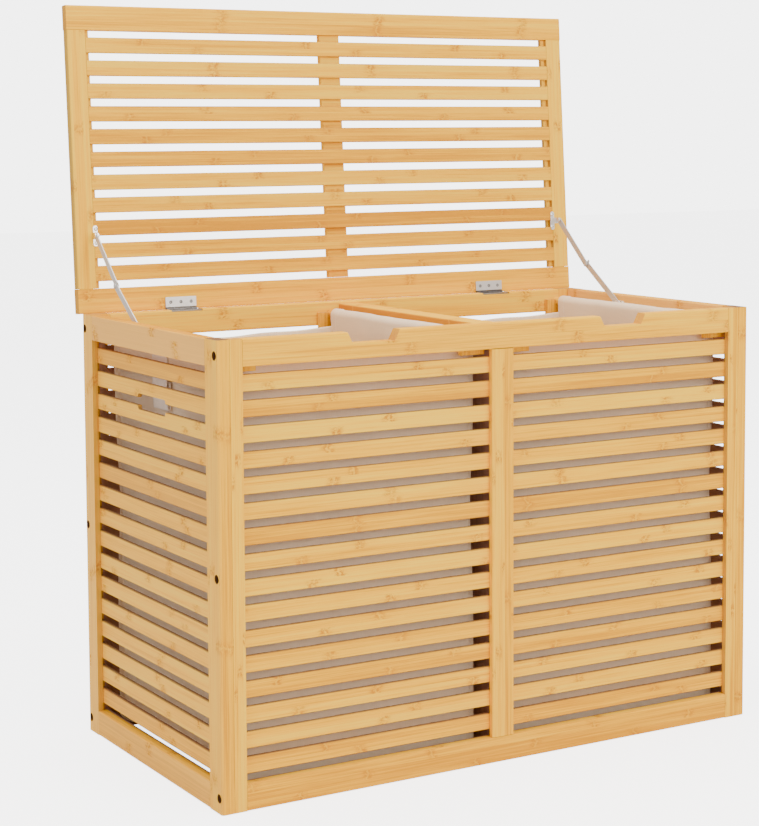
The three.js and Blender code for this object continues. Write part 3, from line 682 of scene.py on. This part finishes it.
class HAMPER_OT_bamboo(Operator):
    """Give every bamboo board its grain, strips and culm joints"""

    bl_idname = "hamper.dress_bamboo"
    bl_label = "Bamboo"

    def execute(self, context):
        looks = {**self.wall_looks(), **self.end_looks(), **self.lid_looks(), **self.divider_looks()}
        for seed, (node, look) in enumerate(sorted(looks.items()), 1):
            # The walls and end panels get painted shade on their faces inside the chest.
            inside_shade = node.startswith(("front", "back", "left_end", "right_end"))
            material = bamboo_material(f"bamboo_{node}", seed, inside_shade=inside_shade, **look)
            NODES[node].material_slots[0].material = material
        NODES["divider_partition"].material_slots[0].material = partition_material()
        return {"FINISHED"}

    @staticmethod
    def wall_looks():
        """The front and back panels."""
        looks = {}
        rail = {"grain": "x", "across": "z", "strip": BOARD}
        # Painted shade: edges darkens the stiles' faces that look along X.
        stile = {"grain": "z", "across": "x", "strip": 0.0046, "edges": ("x", 0.4)}
        slats = {"grain": "x", "across": "z", "strip": SLAT_PITCH, "origin": FIRST_GAP, "plies": 2}
        for wall, sign in (("front", 1), ("back", -1)):
            looks[f"{wall}_top_rail"] = dict(rail, origin=TOP_RAIL, tone=0.02, plies=2)
            looks[f"{wall}_bottom_rail"] = dict(rail, tone=0.2, plies=3)
            looks[f"{wall}_left_stile"] = dict(stile, origin=0.0011)
            looks[f"{wall}_right_stile"] = dict(stile, origin=0.0023)
            batten = {
                "strip": 0.0062,
                "mask": lambda axes, sign=sign: (abs(axes["x"]) < BATTEN_HALF)
                * ((axes["y"] * sign) < -MIDDLE_STILE_Y),
            }
            # Painted shade: edges darkens the slats' faces that look along Z.
            looks[f"{wall}_middle_stile_and_slats"] = dict(slats, edges=("z", 0.85), batten=batten)
        return looks

    @staticmethod
    def end_looks():
        """The end panels."""
        looks = {}
        rail = {"grain": "y", "across": "z", "strip": BOARD}
        slats = {"grain": "y", "across": "z", "strip": SLAT_PITCH, "origin": FIRST_GAP, "plies": 2}
        batten = {"strip": 0.0105, "edge": 0.24, "mask": lambda axes: axes["y"] < -STILE_EDGE_Y}
        for side in SIDES:
            end = f"{side}_end"
            # Painted light: flanks makes the faces that look along X paler. Painted shade: edges darkens
            # the back stile's faces that look along Y and the slats' faces that look along Z.
            looks[f"{end}_top_rail"] = dict(rail, origin=TOP_RAIL, flanks=0.7, plies=3)
            looks[f"{end}_bottom_rail"] = dict(rail, flanks=0.4, plies=2)
            looks[f"{end}_back_stile"] = dict(
                grain="z", across="y", strip=0.0105, flanks=0.5, bored=True, edges=("y", 0.35)
            )
            looks[f"{end}_front_stile_and_slats"] = dict(
                slats, flanks=0.25, bored=True, edges=("z", 0.85), batten=batten
            )
        return looks

    @staticmethod
    def lid_looks():
        """The lid, whose grain leans with it."""
        looks = {}
        lean = {"turn": LEAN, "about": HINGE}
        for side in SIDES:
            # Painted shade: edges darkens the lid stiles' faces that look along X.
            looks[f"lid_{side}_stile"] = dict(
                lean, grain="z", across="x", strip=0.0095, tone=0.15, edges=("x", 0.5)
            )
        for rail, tone in (("front", 0.02), ("rear", 0.32)):
            looks[f"lid_{rail}_rail"] = dict(
                lean, grain="x", across="z", strip=BOARD, origin=0.0002, plies=2, tone=tone
            )
        looks["lid_batten_and_slats"] = dict(
            lean,
            grain="x",
            across="z",
            strip=LID_PITCH,
            origin=LID_FIRST_GAP,
            plies=2,
            # Painted shade: edges darkens the lid slats' faces that look along Z.
            edges=("z", 0.4),
            batten={
                "strip": 0.0046,
                "depth": 0.16,
                "mask": lambda axes: (abs(axes["x"]) < BATTEN_HALF) * (axes["y"] > LID_BATTEN_Y),
            },
        )
        return looks

    @staticmethod
    def divider_looks():
        """The divider's rails, the rods and their holders."""
        looks = {}
        for part in ("top", "bottom"):
            # Painted shade: the rails' faces that look along X lean to the joints' colour by flanks.
            looks[f"divider_{part}_rail"] = dict(
                grain="y", across="x", strip=0.015, tone=0.03, flanks=0.9, flank_colour="joint"
            )
        for rod in (*ROD_NODES["left"], *ROD_NODES["right"]):
            looks[rod] = dict(grain="y", across="x", strip=0.05, tone=-0.1)
            for end in ("front", "back"):
                holder = rod.replace("rod", f"{end}_holder")
                looks[holder] = dict(grain="z", across="x", strip=0.011, tone=-0.06)
        return looks


class HAMPER_OT_steel(Operator):
    """Give the hinges and stays their plated steel and put in the screws' heads"""

    bl_idname = "hamper.dress_steel"
    bl_label = "Hinges, stays and screws"

    def execute(self, context):
        settings = context.scene.hamper_steel
        plating, roughness = settings.colour, settings.roughness
        # The hinge's knuckles and lower leaf get painted shade.
        leaf = steel_material("plated_hinge", plating, roughness + 0.08, "x", pin=HINGE[1:])
        plate = steel_material("plated_steel", scaled(plating, 1.5), roughness, "x")
        arm = steel_material("plated_arm", plating, roughness + 0.12, "y", metallic=0.55)
        bright = steel_material("screw_steel", scaled(plating, 1.2), 0.24, "z")
        dull = steel_material("hinge_screw_steel", scaled(plating, 0.32), 0.4, "z")
        # Painted shade: the counterbores' screws are dark brown.
        dark = steel_material("screw_brown", settings.screw, 0.5, "z")
        finishes = {
            "hinge_lid_leaf": leaf,
            "hinge_chest_leaf": leaf,
            "stay_lid_bracket": plate,
            "stay_foot": plate,
            "stay_upper_arm": arm,
            "stay_lower_arm": arm,
        }
        for side in SIDES:
            for node, finish in finishes.items():
                NODES[f"{side}_{node}"].material_slots[0].material = finish
        self.recess = settings.recess_depth
        self.hinge_screws(dull)
        self.stay_screws(bright)
        self.panel_screws(dark)
        return {"FINISHED"}

    @staticmethod
    def screw_head(centre, outward, turn, recess, radius, rise):
        """A screw's head: a low dome over a disc, with a cross recess that tapers inwards.

        A square grid (a, b) from -1 to 1 is drawn to a disc (p, q) by p = a * sqrt(1 - b^2 / 2), and q
        likewise. The height is rise * (1 - r^2), less the recess where the smaller of |p| and |q| is
        under its half width.
        """
        a, b = np.meshgrid(np.linspace(-1, 1, HEAD_GRID), np.linspace(-1, 1, HEAD_GRID))
        p = a * np.sqrt(1 - b * b / 2)
        q = b * np.sqrt(1 - a * a / 2)
        r = np.hypot(p, q)
        arm = np.minimum(np.abs(p), np.abs(q))
        reach = np.maximum(np.abs(p), np.abs(q))
        inside = smooth((0.2 - arm) / 0.07) * smooth((0.62 - reach) / 0.1)
        height = rise * (1 - r**2) - recess * inside * (1.15 - reach)
        outward = Vector(outward).normalized()
        level = outward.orthogonal().normalized()
        level.rotate(Matrix.Rotation(turn, 3, outward))
        across = outward.cross(level)
        points = (
            np.array(centre)[None, None, :]
            + radius * p[..., None] * np.array(level)
            + radius * q[..., None] * np.array(across)
            + height[..., None] * np.array(outward)
        )
        return points.reshape(-1, 3)

    def screw_set(self, name, body, places, head, material, recess):
        """All heads of one set in one mesh. places holds (centre, outward) pairs."""
        rng = np.random.default_rng(len(name))
        faces = grid_faces(HEAD_GRID, HEAD_GRID)
        points = [self.screw_head(*place, rng.uniform(0, 3), recess, **head) for place in places]
        quads = [faces + i * HEAD_GRID**2 for i in range(len(places))]
        piece = mesh_object(name, join(points), join(quads))
        thicken(piece, HEAD_WALL, offset=-1)
        dress(piece, body, material)

    @staticmethod
    def on_lid(x, y, z):
        """A place on the open lid and the way that its front looks, from the place's X and from its Y
        and Z off the hinges' axis with the lid upright."""
        spin = Matrix.Rotation(-LEAN, 3, "X")
        centre = spin @ Vector((0, y, z)) + Vector(HINGE)
        return (x, centre.y, centre.z), tuple(spin @ Vector((0, -1, 0)))

    def hinge_screws(self, material):
        """Countersunk screws, three in each leaf."""
        for side in SIDES:
            x = box_middle(f"{side}_hinge_lid_leaf")[0]
            upper = [self.on_lid(x + step, LEAF_FACE, LEAF_SCREWS) for step in LEAF_STEPS]
            y, z = HINGE[1] - LEAF_SCREWS, HINGE[2] - LEAF_FACE
            lower = [((x + step, y, z), (0, 0, 1)) for step in LEAF_STEPS]
            for part, body, places in (("lid", LID, upper), ("chest", CHEST, lower)):
                name = f"{side}_hinge_{part}_screws"
                self.screw_set(name, body, places, LEAF_HEAD, material, self.recess * 0.5)

    def stay_screws(self, material):
        """Domed screws, two in each bracket on the lid and two in each foot on an end panel."""
        for side, sign in SIDES.items():
            low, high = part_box(f"{side}_stay_lid_bracket")
            x = (low.x if sign > 0 else high.x) + sign * BRACKET_INSET
            upper = [self.on_lid(x, BRACKET_FACE, BRACKET_MIDDLE + step) for step in PLATE_STEPS]
            _, y, z = box_middle(f"{side}_stay_foot")
            lower = [((sign * FOOT_FACE, y + step, z), (-sign, 0, 0)) for step in PLATE_STEPS]
            for part, body, places in (("bracket", LID, upper), ("foot", CHEST, lower)):
                name = f"{side}_stay_{part}_screws"
                self.screw_set(name, body, places, PLATE_HEAD, material, self.recess)

    def panel_screws(self, material):
        """Screws at the bottom of the end panels' counterbores, coloured dark brown as painted shade."""
        for side, sign in SIDES.items():
            face = sign * BORE_FLOOR
            places = [((face, y, z), (sign, 0, 0)) for y in (-BORE_Y, BORE_Y) for z in BORE_Z]
            name = f"{side}_panel_screws"
            self.screw_set(name, CHEST, places, BORE_HEAD, material, self.recess)


class HAMPER_OT_bags(Operator):
    """Sew the two cloth bags and hang them on their rods"""

    bl_idname = "hamper.make_bags"
    bl_label = "Cloth bags"

    def execute(self, context):
        self.settings = context.scene.hamper_cloth
        self.seed = context.scene.hamper_stage.seed
        self.cloth = cloth_material("ecru_cotton", self.settings.colour)
        # The straps' webbing is paler than the cloth as painted light.
        self.webbing = cloth_material("ecru_webbing", self.settings.webbing)
        self.thread = thread_material(self.settings.thread)
        for side, sign in SIDES.items():
            low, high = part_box(f"{side}_bag")
            (outer, _, self.rod_z), (inner, _, _) = map(box_middle, ROD_NODES[side])
            self.half = high.y - BAG_INSET
            self.floor = low.z + BAG_INSET
            self.middle = (outer + inner) / 2
            self.reach = abs(outer - inner) / 2
            self.salt = 3 if side == "left" else 0
            self.sew(side, (("outer", outer, sign), ("inner", inner, -sign)))
        return {"FINISHED"}

    def sew(self, side, sides):
        """All of one bag's pieces, which hang from its two rods."""
        body = self.body(side)
        trim = [self.tunnel(side, place, axis) for place, axis, _ in sides]
        trim += [self.hem(side, place, y) for place, y in (("front", -1), ("back", 1))]
        trim += [self.strap(side, place, axis, outward) for place, axis, outward in sides]
        trim.append(self.stitches(side, sides))
        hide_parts(f"{side}_bag")

    def cloth_piece(self, name, points, uv, thickness, material):
        """A sheet of cloth of its own thickness that rides on the chest."""
        piece = sheet_object(name, points, uv)
        thicken(piece, thickness)
        return dress(piece, CHEST, material)

    def rim(self, sign, across):
        """Height of the front (-1) or back (1) rim at a share of its length from the left."""
        corner, hang = self.settings.front_rim if sign < 0 else self.settings.back_rim
        wave = 1 + 0.25 * np.sin(5.3 * np.pi * across)
        return self.rod_z - corner - hang * np.sin(np.pi * across) * wave

    def flange(self, t):
        """How far the front and back panels stand past the side walls: least above the middle."""
        return self.settings.flange * (1 - 0.7 * np.exp(-(((t - 0.42) / 0.15) ** 2)))

    def outline(self):
        """The bag from above, anticlockwise from the front left corner: for each point its X with no
        flange, its share of the flange, its Y, the panel that it is on, and its share of the panel."""
        left, right = self.middle - self.reach, self.middle + self.reach
        layer = self.settings.thickness * 1.15
        corner = 0.006
        fine = np.linspace(0, corner, 7)[:-1]
        plain = np.linspace(left + corner, right - corner, 86)
        inner = join([left + fine, plain, right - fine[::-1]])
        out = np.array([1, 0.66, 0.33])
        front_x = join([np.full(3, left), inner, np.full(3, right)])
        front_f = join([-out, np.zeros(inner.size), out[::-1]])
        fold_f = np.array([1.04, 0.9, 0.5, 0.1])
        fold_y = np.array([0.5, 1, 1, 1]) * layer - self.half
        side_y = np.linspace(2.2 * layer - self.half, self.half - 2.2 * layer, 72)
        quarter = [
            join([front_x, np.full(4 + side_y.size, right)]),
            join([front_f, fold_f, np.zeros(side_y.size)]),
            join([np.full(front_x.size, -self.half), fold_y, side_y]),
            join([np.full(front_x.size + 4, FRONT), np.full(side_y.size, RIGHT)]),
        ]
        closing = [np.full(4, right), fold_f[::-1], -fold_y[::-1], np.full(4, BACK)]
        x, f, y, panel = (join(pair) for pair in zip(quarter, closing))
        x = join([x, 2 * self.middle - x])
        f, y = join([f, -f]), join([y, -y])
        panel = join([panel, (panel + 2) % 4])
        along_x = (x - left) / (right - left)
        along_y = (y + self.half) / (2 * self.half)
        across = np.clip(np.where(np.isin(panel, (FRONT, BACK)), along_x, along_y), 0, 1)
        return x, f, y, panel, across

    def push(self, panel, across, t):
        """How far a panel's cloth stands out at a share of its width and of its height."""
        fade = np.sin(np.pi * across) ** 0.5 * np.sin(np.pi * np.clip(t * 0.96 + 0.02, 0, 1)) ** 0.6
        size, bulge = (0.0017, 0.0012) if panel in (FRONT, BACK) else (0.0022, 0.0022)
        wave = folds(across, t, self.seed + 10 * panel + self.salt)
        return fade * (size * wave + bulge * np.sin(np.pi * t))

    def body(self, side):
        """The bag's walls and floor in one mesh: the outline from above, carried down.

        Straight rows come first, then a quarter circle of rows turns the walls in under the bag. Each
        panel is pushed out by its folds, and is drawn in along the seams at the upright corners.
        """
        base_x, f, base_y, panel, across = self.outline()
        straight, turn = 60, np.linspace(0, np.pi / 2, 11)[1:]
        t = join([np.linspace(0, 1, straight), np.ones(turn.size)])[:, None]
        angle = join([np.zeros(straight), turn])[:, None]
        top = np.select(
            [panel == FRONT, panel == BACK],
            [self.rim(-1, across), self.rim(1, across)],
            self.rod_z - self.settings.tunnel_drop + SIDE_OVERLAP,
        )
        z = top + (self.floor + BAG_BEND - top) * t - BAG_BEND * np.sin(angle)
        push = np.zeros(z.shape)
        for number in (FRONT, RIGHT, BACK, LEFT):
            push += np.where(panel == number, self.push(number, across, t), 0)
        seam = np.abs(np.abs(base_x - self.middle) - self.reach)
        groove = 0.0005 * np.exp(-((seam / 0.0012) ** 2)) * (f == 0) * np.isin(panel, (FRONT, BACK))
        outward_y = np.select([panel == FRONT, panel == BACK], [-1, 1], 0)
        outward_x = np.where(np.isin(panel, (RIGHT, LEFT)), np.sign(base_x - self.middle), 0)
        x = base_x + f * self.flange(t) * np.cos(angle) + outward_x * push
        y = base_y + outward_y * (push - groove)
        inset = BAG_BEND * (1 - np.cos(angle))
        x = self.middle + (x - self.middle) * (1 - inset / self.reach)
        y = y * (1 - inset / self.half)
        run = distances(np.diff(x[0]), np.diff(y[0]))
        uv = grid_of(run, z - BAG_BEND * (angle - np.sin(angle)))
        walls = grid_faces(*z.shape, wrap=True)[:, ::-1]
        floor_points, floor_uv = self.floor_grid()
        floor = grid_faces(*floor_points.shape[:2]) + z.size
        piece = mesh_object(
            f"{side}_bag_body",
            join([grid_of(x, y, z).reshape(-1, 3), floor_points.reshape(-1, 3)]),
            join([walls, floor]),
            join([uv.reshape(-1, 2), floor_uv.reshape(-1, 2)]),
        )
        thicken(piece, self.settings.thickness)
        return dress(piece, CHEST, self.cloth)

    def floor_grid(self):
        """The bag's floor: a grid that rises to the walls in a quarter circle and has faint creases."""
        a, b = np.meshgrid(np.linspace(-1, 1, 60), np.linspace(-1, 1, 50))
        x = self.middle + (self.reach - FLOOR_MARGIN) * np.sin(a * np.pi / 2)
        y = (self.half - FLOOR_MARGIN) * np.sin(b * np.pi / 2)
        edge = np.minimum(self.reach - np.abs(x - self.middle), self.half - np.abs(y))
        inside = np.clip(BAG_BEND - edge, 0, BAG_BEND)
        lift = BAG_BEND - np.sqrt(BAG_BEND**2 - inside**2)
        creases = 1 + folds((a + 1) / 2, (b + 1) / 2, self.seed + 77)
        z = self.floor + self.settings.thickness * 1.1 + lift * 0.9 + 0.0006 * creases * smooth(edge / 0.04)
        return grid_of(x, y, z), grid_of(x, y)

    def flank(self, t):
        """A tunnel flank's distance from its middle plane at a share t of its drop, with the radius r
        at the rod and the gap at the seam: gap + (r - gap)(1 - t^1.7)."""
        gap = self.settings.thickness * 1.05
        return gap + (TUNNEL_RADIUS - gap) * (1 - t**1.7)

    def tunnel(self, side, place, axis):
        """The doubled band that wraps a rod: over the rod in a half circle, then both flanks down to
        the seam. It is thicker where its ends are turned in, and soft folds run through the flanks."""
        r, drop = TUNNEL_RADIUS, self.settings.tunnel_drop
        t = np.linspace(1, 0, 30)
        angle = np.linspace(0, np.pi, 20)[1:-1]
        profile_x = join([self.flank(t), r * np.cos(angle), -self.flank(t)[::-1]])
        profile_z = join([-drop * t, r * np.sin(angle), -drop * t[::-1]])
        ends = np.linspace(0, 0.018, 22)
        start = 0.02 - self.half
        y = join([ends - self.half, np.linspace(start, -start, 110), self.half - ends[::-1]])[:, None]
        b = (y + self.half) / (2 * self.half)
        edge = self.half - np.abs(y)
        down = np.clip(-profile_z / drop, 0, 1)
        seed = self.seed + (5 if place == "outer" else 9) + (20 if side == "left" else 0)
        fade = smooth((edge - 0.012) / 0.04)
        wave = 0.0015 * folds(b, down * 0.8, seed, 9) * fade * (0.35 + smooth(down / 0.5))
        turned = 0.0005 * (1 - smooth((edge - TURNED_END) / 0.001))
        out = turned * np.clip(0.3 + 1.4 * (1 - down), 0, 1)
        x = axis + profile_x + np.sign(profile_x) * (out + np.minimum(wave, 0.0012))
        lift = 0.0009 * np.maximum(folds(b, 0.0, seed + 1, 9), -0.9) * fade + turned
        z = self.rod_z + profile_z + lift * (1 - down)
        uv = grid_of(y, distances(np.diff(profile_x), np.diff(profile_z)))
        name = f"{side}_bag_tunnel_{place}"
        return self.cloth_piece(name, grid_of(x, y, z), uv, self.settings.thickness, self.cloth)

    def hem(self, side, place, sign):
        """A folded hem over the front or back rim: a narrow U in section, carried along the rim."""
        cloth = self.settings.thickness
        a = np.linspace(0.003, 0.997, 120)[:, None]
        r = cloth * 1.25
        t = np.linspace(1, 0, 8)
        angle = np.linspace(0, np.pi, 9)[1:-1]
        off = join([np.full(8, r), r * np.cos(angle), np.full(8, -r)])
        up = join([-HEM_TALL * t, r * np.sin(angle) + 0.0002, -HEM_TALL * t[::-1]])
        x = self.middle + self.reach * (2 * a - 1)
        rim = self.rim(sign, a)
        down = np.clip(-up / (rim - self.floor), 0, 1)
        y = sign * (self.half + self.push(FRONT if sign < 0 else BACK, a, down) + off)
        uv = grid_of(x, np.linspace(0, 0.04, off.size))
        name = f"{side}_bag_hem_{place}"
        return self.cloth_piece(name, grid_of(x, y, rim + up), uv, cloth * 0.8, self.cloth)

    def strap(self, side, place, axis, outward):
        """The carrying loop: a strip folded double, its fold at the bottom, whose outer leg is sewn to
        the tunnel's flank. The section runs down, round a half circle and up again."""
        low, r = STRAP_LOW, STRAP_FOLD
        top_in = self.rod_z - self.settings.tunnel_drop + 0.002
        top_out = self.rod_z - STRAP_TOP
        angle = np.linspace(0, np.pi, 13)[1:-1]
        leg = np.linspace(0, 1, 22)
        up_z = low + (top_out - low) * leg
        flare = STRAP_FLARE * smooth((up_z - self.rod_z + 0.045) / 0.033)
        out = STRAP_OUT + join([0 * leg, r - r * np.cos(angle), 2 * r + flare])
        z = join([top_in + (low - top_in) * leg, low - r * np.sin(angle), up_z])
        q = np.linspace(-0.5, 0.5, 16)[:, None]
        swing = 0.0016 * np.sin(np.pi * (z - low) / 0.07) + 0.0006 * folds(q + 0.5, z / 0.2, 31)
        swing = swing * smooth((self.rod_z - 0.03 - z) / 0.03)
        y = STRAP_Y + STRAP_WIDE * q * (1 - 0.03 * np.sin(np.pi * (z - low) / 0.06))
        x = axis + outward * (out + np.abs(swing) * (out > 0.006))
        uv = grid_of(distances(np.diff(out), np.diff(z)), STRAP_WIDE * q)
        name = f"{side}_bag_strap_{place}"
        return self.cloth_piece(name, grid_of(x, y, z), uv, STRAP_THICK, self.webbing)

    def seams(self, sides):
        """The seams' lines as arrays of points that lie on the cloth."""
        drop = self.settings.tunnel_drop
        proud = self.settings.thickness * 0.5 + THREAD_RISE
        s = np.linspace(0, 1, 40)
        lines = []
        foot = 1 - TUNNEL_SEAM / drop
        strap = STRAP_OUT + 2 * STRAP_FOLD + STRAP_FLARE + STRAP_THICK / 2 + THREAD_RISE
        for _, axis, outward in sides:
            for face in (-1, 1):
                x = axis + face * (self.flank(foot) + proud + TUNNEL_ROOM)
                lines.append(grid_of(x, (2 * s - 1) * (self.half - 0.003), self.rod_z - drop * foot))
            for below in STRAP_SEAMS:
                y = STRAP_Y + STRAP_SEAM_WIDE * (s - 0.5)
                lines.append(grid_of(axis + outward * strap, y, self.rod_z - below))
            fall = join([foot * (1 - s), np.zeros(20), foot * s])
            angle = join([0 * s, np.linspace(0, np.pi, 20), np.pi + 0 * s])
            reach = self.flank(fall) + proud + TUNNEL_ROOM
            x = axis + reach * np.cos(angle)
            z = self.rod_z - drop * fall + reach * np.sin(angle)
            for end in (-1, 1):
                lines.append(grid_of(x, end * (self.half - TURNED_END + 0.001), z))
        for sign in (-1, 1):
            for end in (-1, 1):
                top, bottom = self.rim(sign, 0.0) - 0.024, self.floor + 0.014
                x = self.middle + end * (self.reach + 0.0012)
                lines.append(grid_of(x, sign * (self.half + proud), top + (bottom - top) * s))
            a = 0.01 + 0.98 * s
            rim = self.rim(sign, a)
            out = self.push(FRONT if sign < 0 else BACK, a, HEM_SEAM / (rim - self.floor))
            for face in (-1, 1):
                y = sign * (self.half + out) + face * (self.settings.thickness * 1.65 + THREAD_RISE)
                lines.append(grid_of(self.middle + self.reach * (2 * a - 1), y, rim - HEM_SEAM))
        return lines

    def stitches(self, side, sides):
        """Every seam's thread: a small six-sided spindle for each stitch, laid along the seam's line."""
        pitch = self.settings.stitch
        turn = np.linspace(0, 2 * np.pi, 6, endpoint=False)
        stations = np.array([0, 0.14, 0.86, 1.0])
        radii = np.array([0, 1, 1, 0]) * THREAD_RADIUS
        faces = grid_faces(4, 6, wrap=True)[:, ::-1]
        points = []
        for line in self.seams(sides):
            length = join([[0], np.cumsum(np.linalg.norm(np.diff(line, axis=0), axis=1))])
            starts = np.arange(int(length[-1] / pitch)) * pitch + 0.18 * pitch
            at = starts[:, None] + stations[None, :] * pitch * 0.64
            spine = grid_of(*(np.interp(at, length, line[:, k]) for k in range(3)))
            way = spine[:, -1] - spine[:, 0]
            way = way / np.linalg.norm(way, axis=1, keepdims=True)
            level = np.where(np.abs(way[:, 2:]) > 0.5, [[1.0, 0, 0]], [[0, 0, 1.0]])
            u = np.cross(way, level)
            u = u / np.linalg.norm(u, axis=1, keepdims=True)
            v = np.cross(way, u)
            circle = np.cos(turn)[:, None] * u[:, None] + np.sin(turn)[:, None] * v[:, None]
            shape = spine[:, :, None] + radii[None, :, None, None] * circle[:, None]
            points.append(shape.reshape(-1, 3))
        points = join(points)
        starts = np.arange(points.shape[0] // 24)[:, None, None] * 24
        piece = mesh_object(f"{side}_bag_thread", points, (faces[None] + starts).reshape(-1, 4))
        return dress(piece, CHEST, self.thread)


class HAMPER_OT_stage(Operator):
    """Lay the floor and set up the light and the camera"""

    bl_idname = "hamper.make_stage"
    bl_label = "Floor, light and camera"

    def execute(self, context):
        settings = context.scene.hamper_stage
        self.floor(settings)
        self.lights(settings)
        self.camera()
        return {"FINISHED"}

    @staticmethod
    def floor(settings):
        """A wide flat sheet under the chest, whose own light only the camera sees."""
        half, sink = 12.0, 0.0004
        x, y = np.meshgrid(np.linspace(-half, half, 9), np.linspace(-half, half, 9))
        floor = sheet_object("studio_floor", grid_of(x, y, -sink), grid_of(x, y))
        shader = Shader(bpy.data.materials.new("studio_floor"), Emission_Strength=settings.glow)
        x, y, _ = shader.place()
        grain = shader.noise(x * 3, y * 3, 0.0, 3.0)
        seen = shader.node("LightPath", output="Is Camera Ray")
        floor.data.materials.append(
            shader.finish(
                Base_Color=shader.mix(grain * 0.2, settings.floor, scaled(settings.floor, 0.96)),
                Roughness=grain * 0.1 + 0.7,
                Emission_Color=shader.mix(seen, (0, 0, 0), (1, 1, 1)),
            )
        )

    @staticmethod
    def lights(settings):
        """Even light from all round, and soft boxes. The camera sees a backdrop of its own strength."""
        shader = Shader(bpy.data.worlds.new("studio"), "Background", Color=(1, 1, 1, 1))
        seen = shader.node("LightPath", output="Is Camera Ray")
        strengths = {"Factor": seen, "A": settings.light, "B": settings.backdrop}
        strength = shader.node("Mix", inputs=strengths, output="Result")
        bpy.context.scene.world = shader.finish(Strength=strength)
        for name, (place, height, size, power) in SOFT_BOXES.items():
            data = bpy.data.lights.new(name, "AREA")
            data.shape = "SQUARE"
            data.size = size
            data.energy = power
            lamp = bpy.data.objects.new(name, data)
            bpy.context.scene.collection.objects.link(lamp)
            lamp.location = place
            aim = Vector((0, 0, height)) - Vector(place)
            lamp.rotation_euler = aim.to_track_quat("-Z", "Y").to_euler()

    @staticmethod
    def camera():
        """The photograph's view: a long lens from the front left, a little above the rim."""
        focal_px, tall_px, horizon_px, sensor = 2016.87, 826.0, 300.0, 36.0
        pitch, roll, yaw = (math.radians(a) for a in (4.81, -0.32, 30.47))
        place = Vector((-1.2927, -2.1041, 0.7369))
        turn = (
            Matrix.Rotation(roll, 3, "Y")
            @ Matrix.Rotation(pitch, 3, "X")
            @ Matrix.Rotation(yaw, 3, "Z")
        ).transposed()
        right, ahead, up = (turn @ Vector(axis) for axis in ((1, 0, 0), (0, 1, 0), (0, 0, 1)))
        data = bpy.data.cameras.new("photo_view")
        data.sensor_fit = "AUTO"
        data.sensor_width = sensor
        data.lens = sensor * focal_px / tall_px
        data.shift_y = (horizon_px - tall_px / 2) / tall_px
        data.clip_end = 100
        camera = bpy.data.objects.new("photo_view", data)
        bpy.context.scene.collection.objects.link(camera)
        basis = Matrix((right, up, -ahead)).transposed().to_4x4()
        camera.matrix_world = Matrix.Translation(place) @ basis
        bpy.context.scene.camera = camera


class HAMPER_PT_panel(Panel):
    """Lists the hamper's operators and settings in the sidebar"""

    bl_label = "Laundry Hamper"
    bl_idname = "HAMPER_PT_panel"
    bl_space_type = "VIEW_3D"
    bl_region_type = "UI"
    bl_category = "Hamper"

    def draw(self, context):
        layout = self.layout
        for operator in OPERATORS:
            layout.operator(operator.bl_idname)
        for name, group in SETTINGS.items():
            box = layout.box()
            for key in group.__annotations__:
                box.prop(getattr(context.scene, name), key)


OPERATORS = (HAMPER_OT_stage, HAMPER_OT_bamboo, HAMPER_OT_steel, HAMPER_OT_bags)


def register():
    for group in (*SETTINGS.values(), *OPERATORS, HAMPER_PT_panel):
        bpy.utils.register_class(group)
    for name, group in SETTINGS.items():
        setattr(bpy.types.Scene, name, PointerProperty(type=group))


def unregister():
    for name in SETTINGS:
        delattr(bpy.types.Scene, name)
    for group in reversed((*SETTINGS.values(), *OPERATORS, HAMPER_PT_panel)):
        bpy.utils.unregister_class(group)


def main():
    register()
    bpy.ops.hamper.make_stage()
    bpy.ops.hamper.dress_bamboo()
    bpy.ops.hamper.dress_steel()
    bpy.ops.hamper.make_bags()


if __name__ == "__main__":
    main()
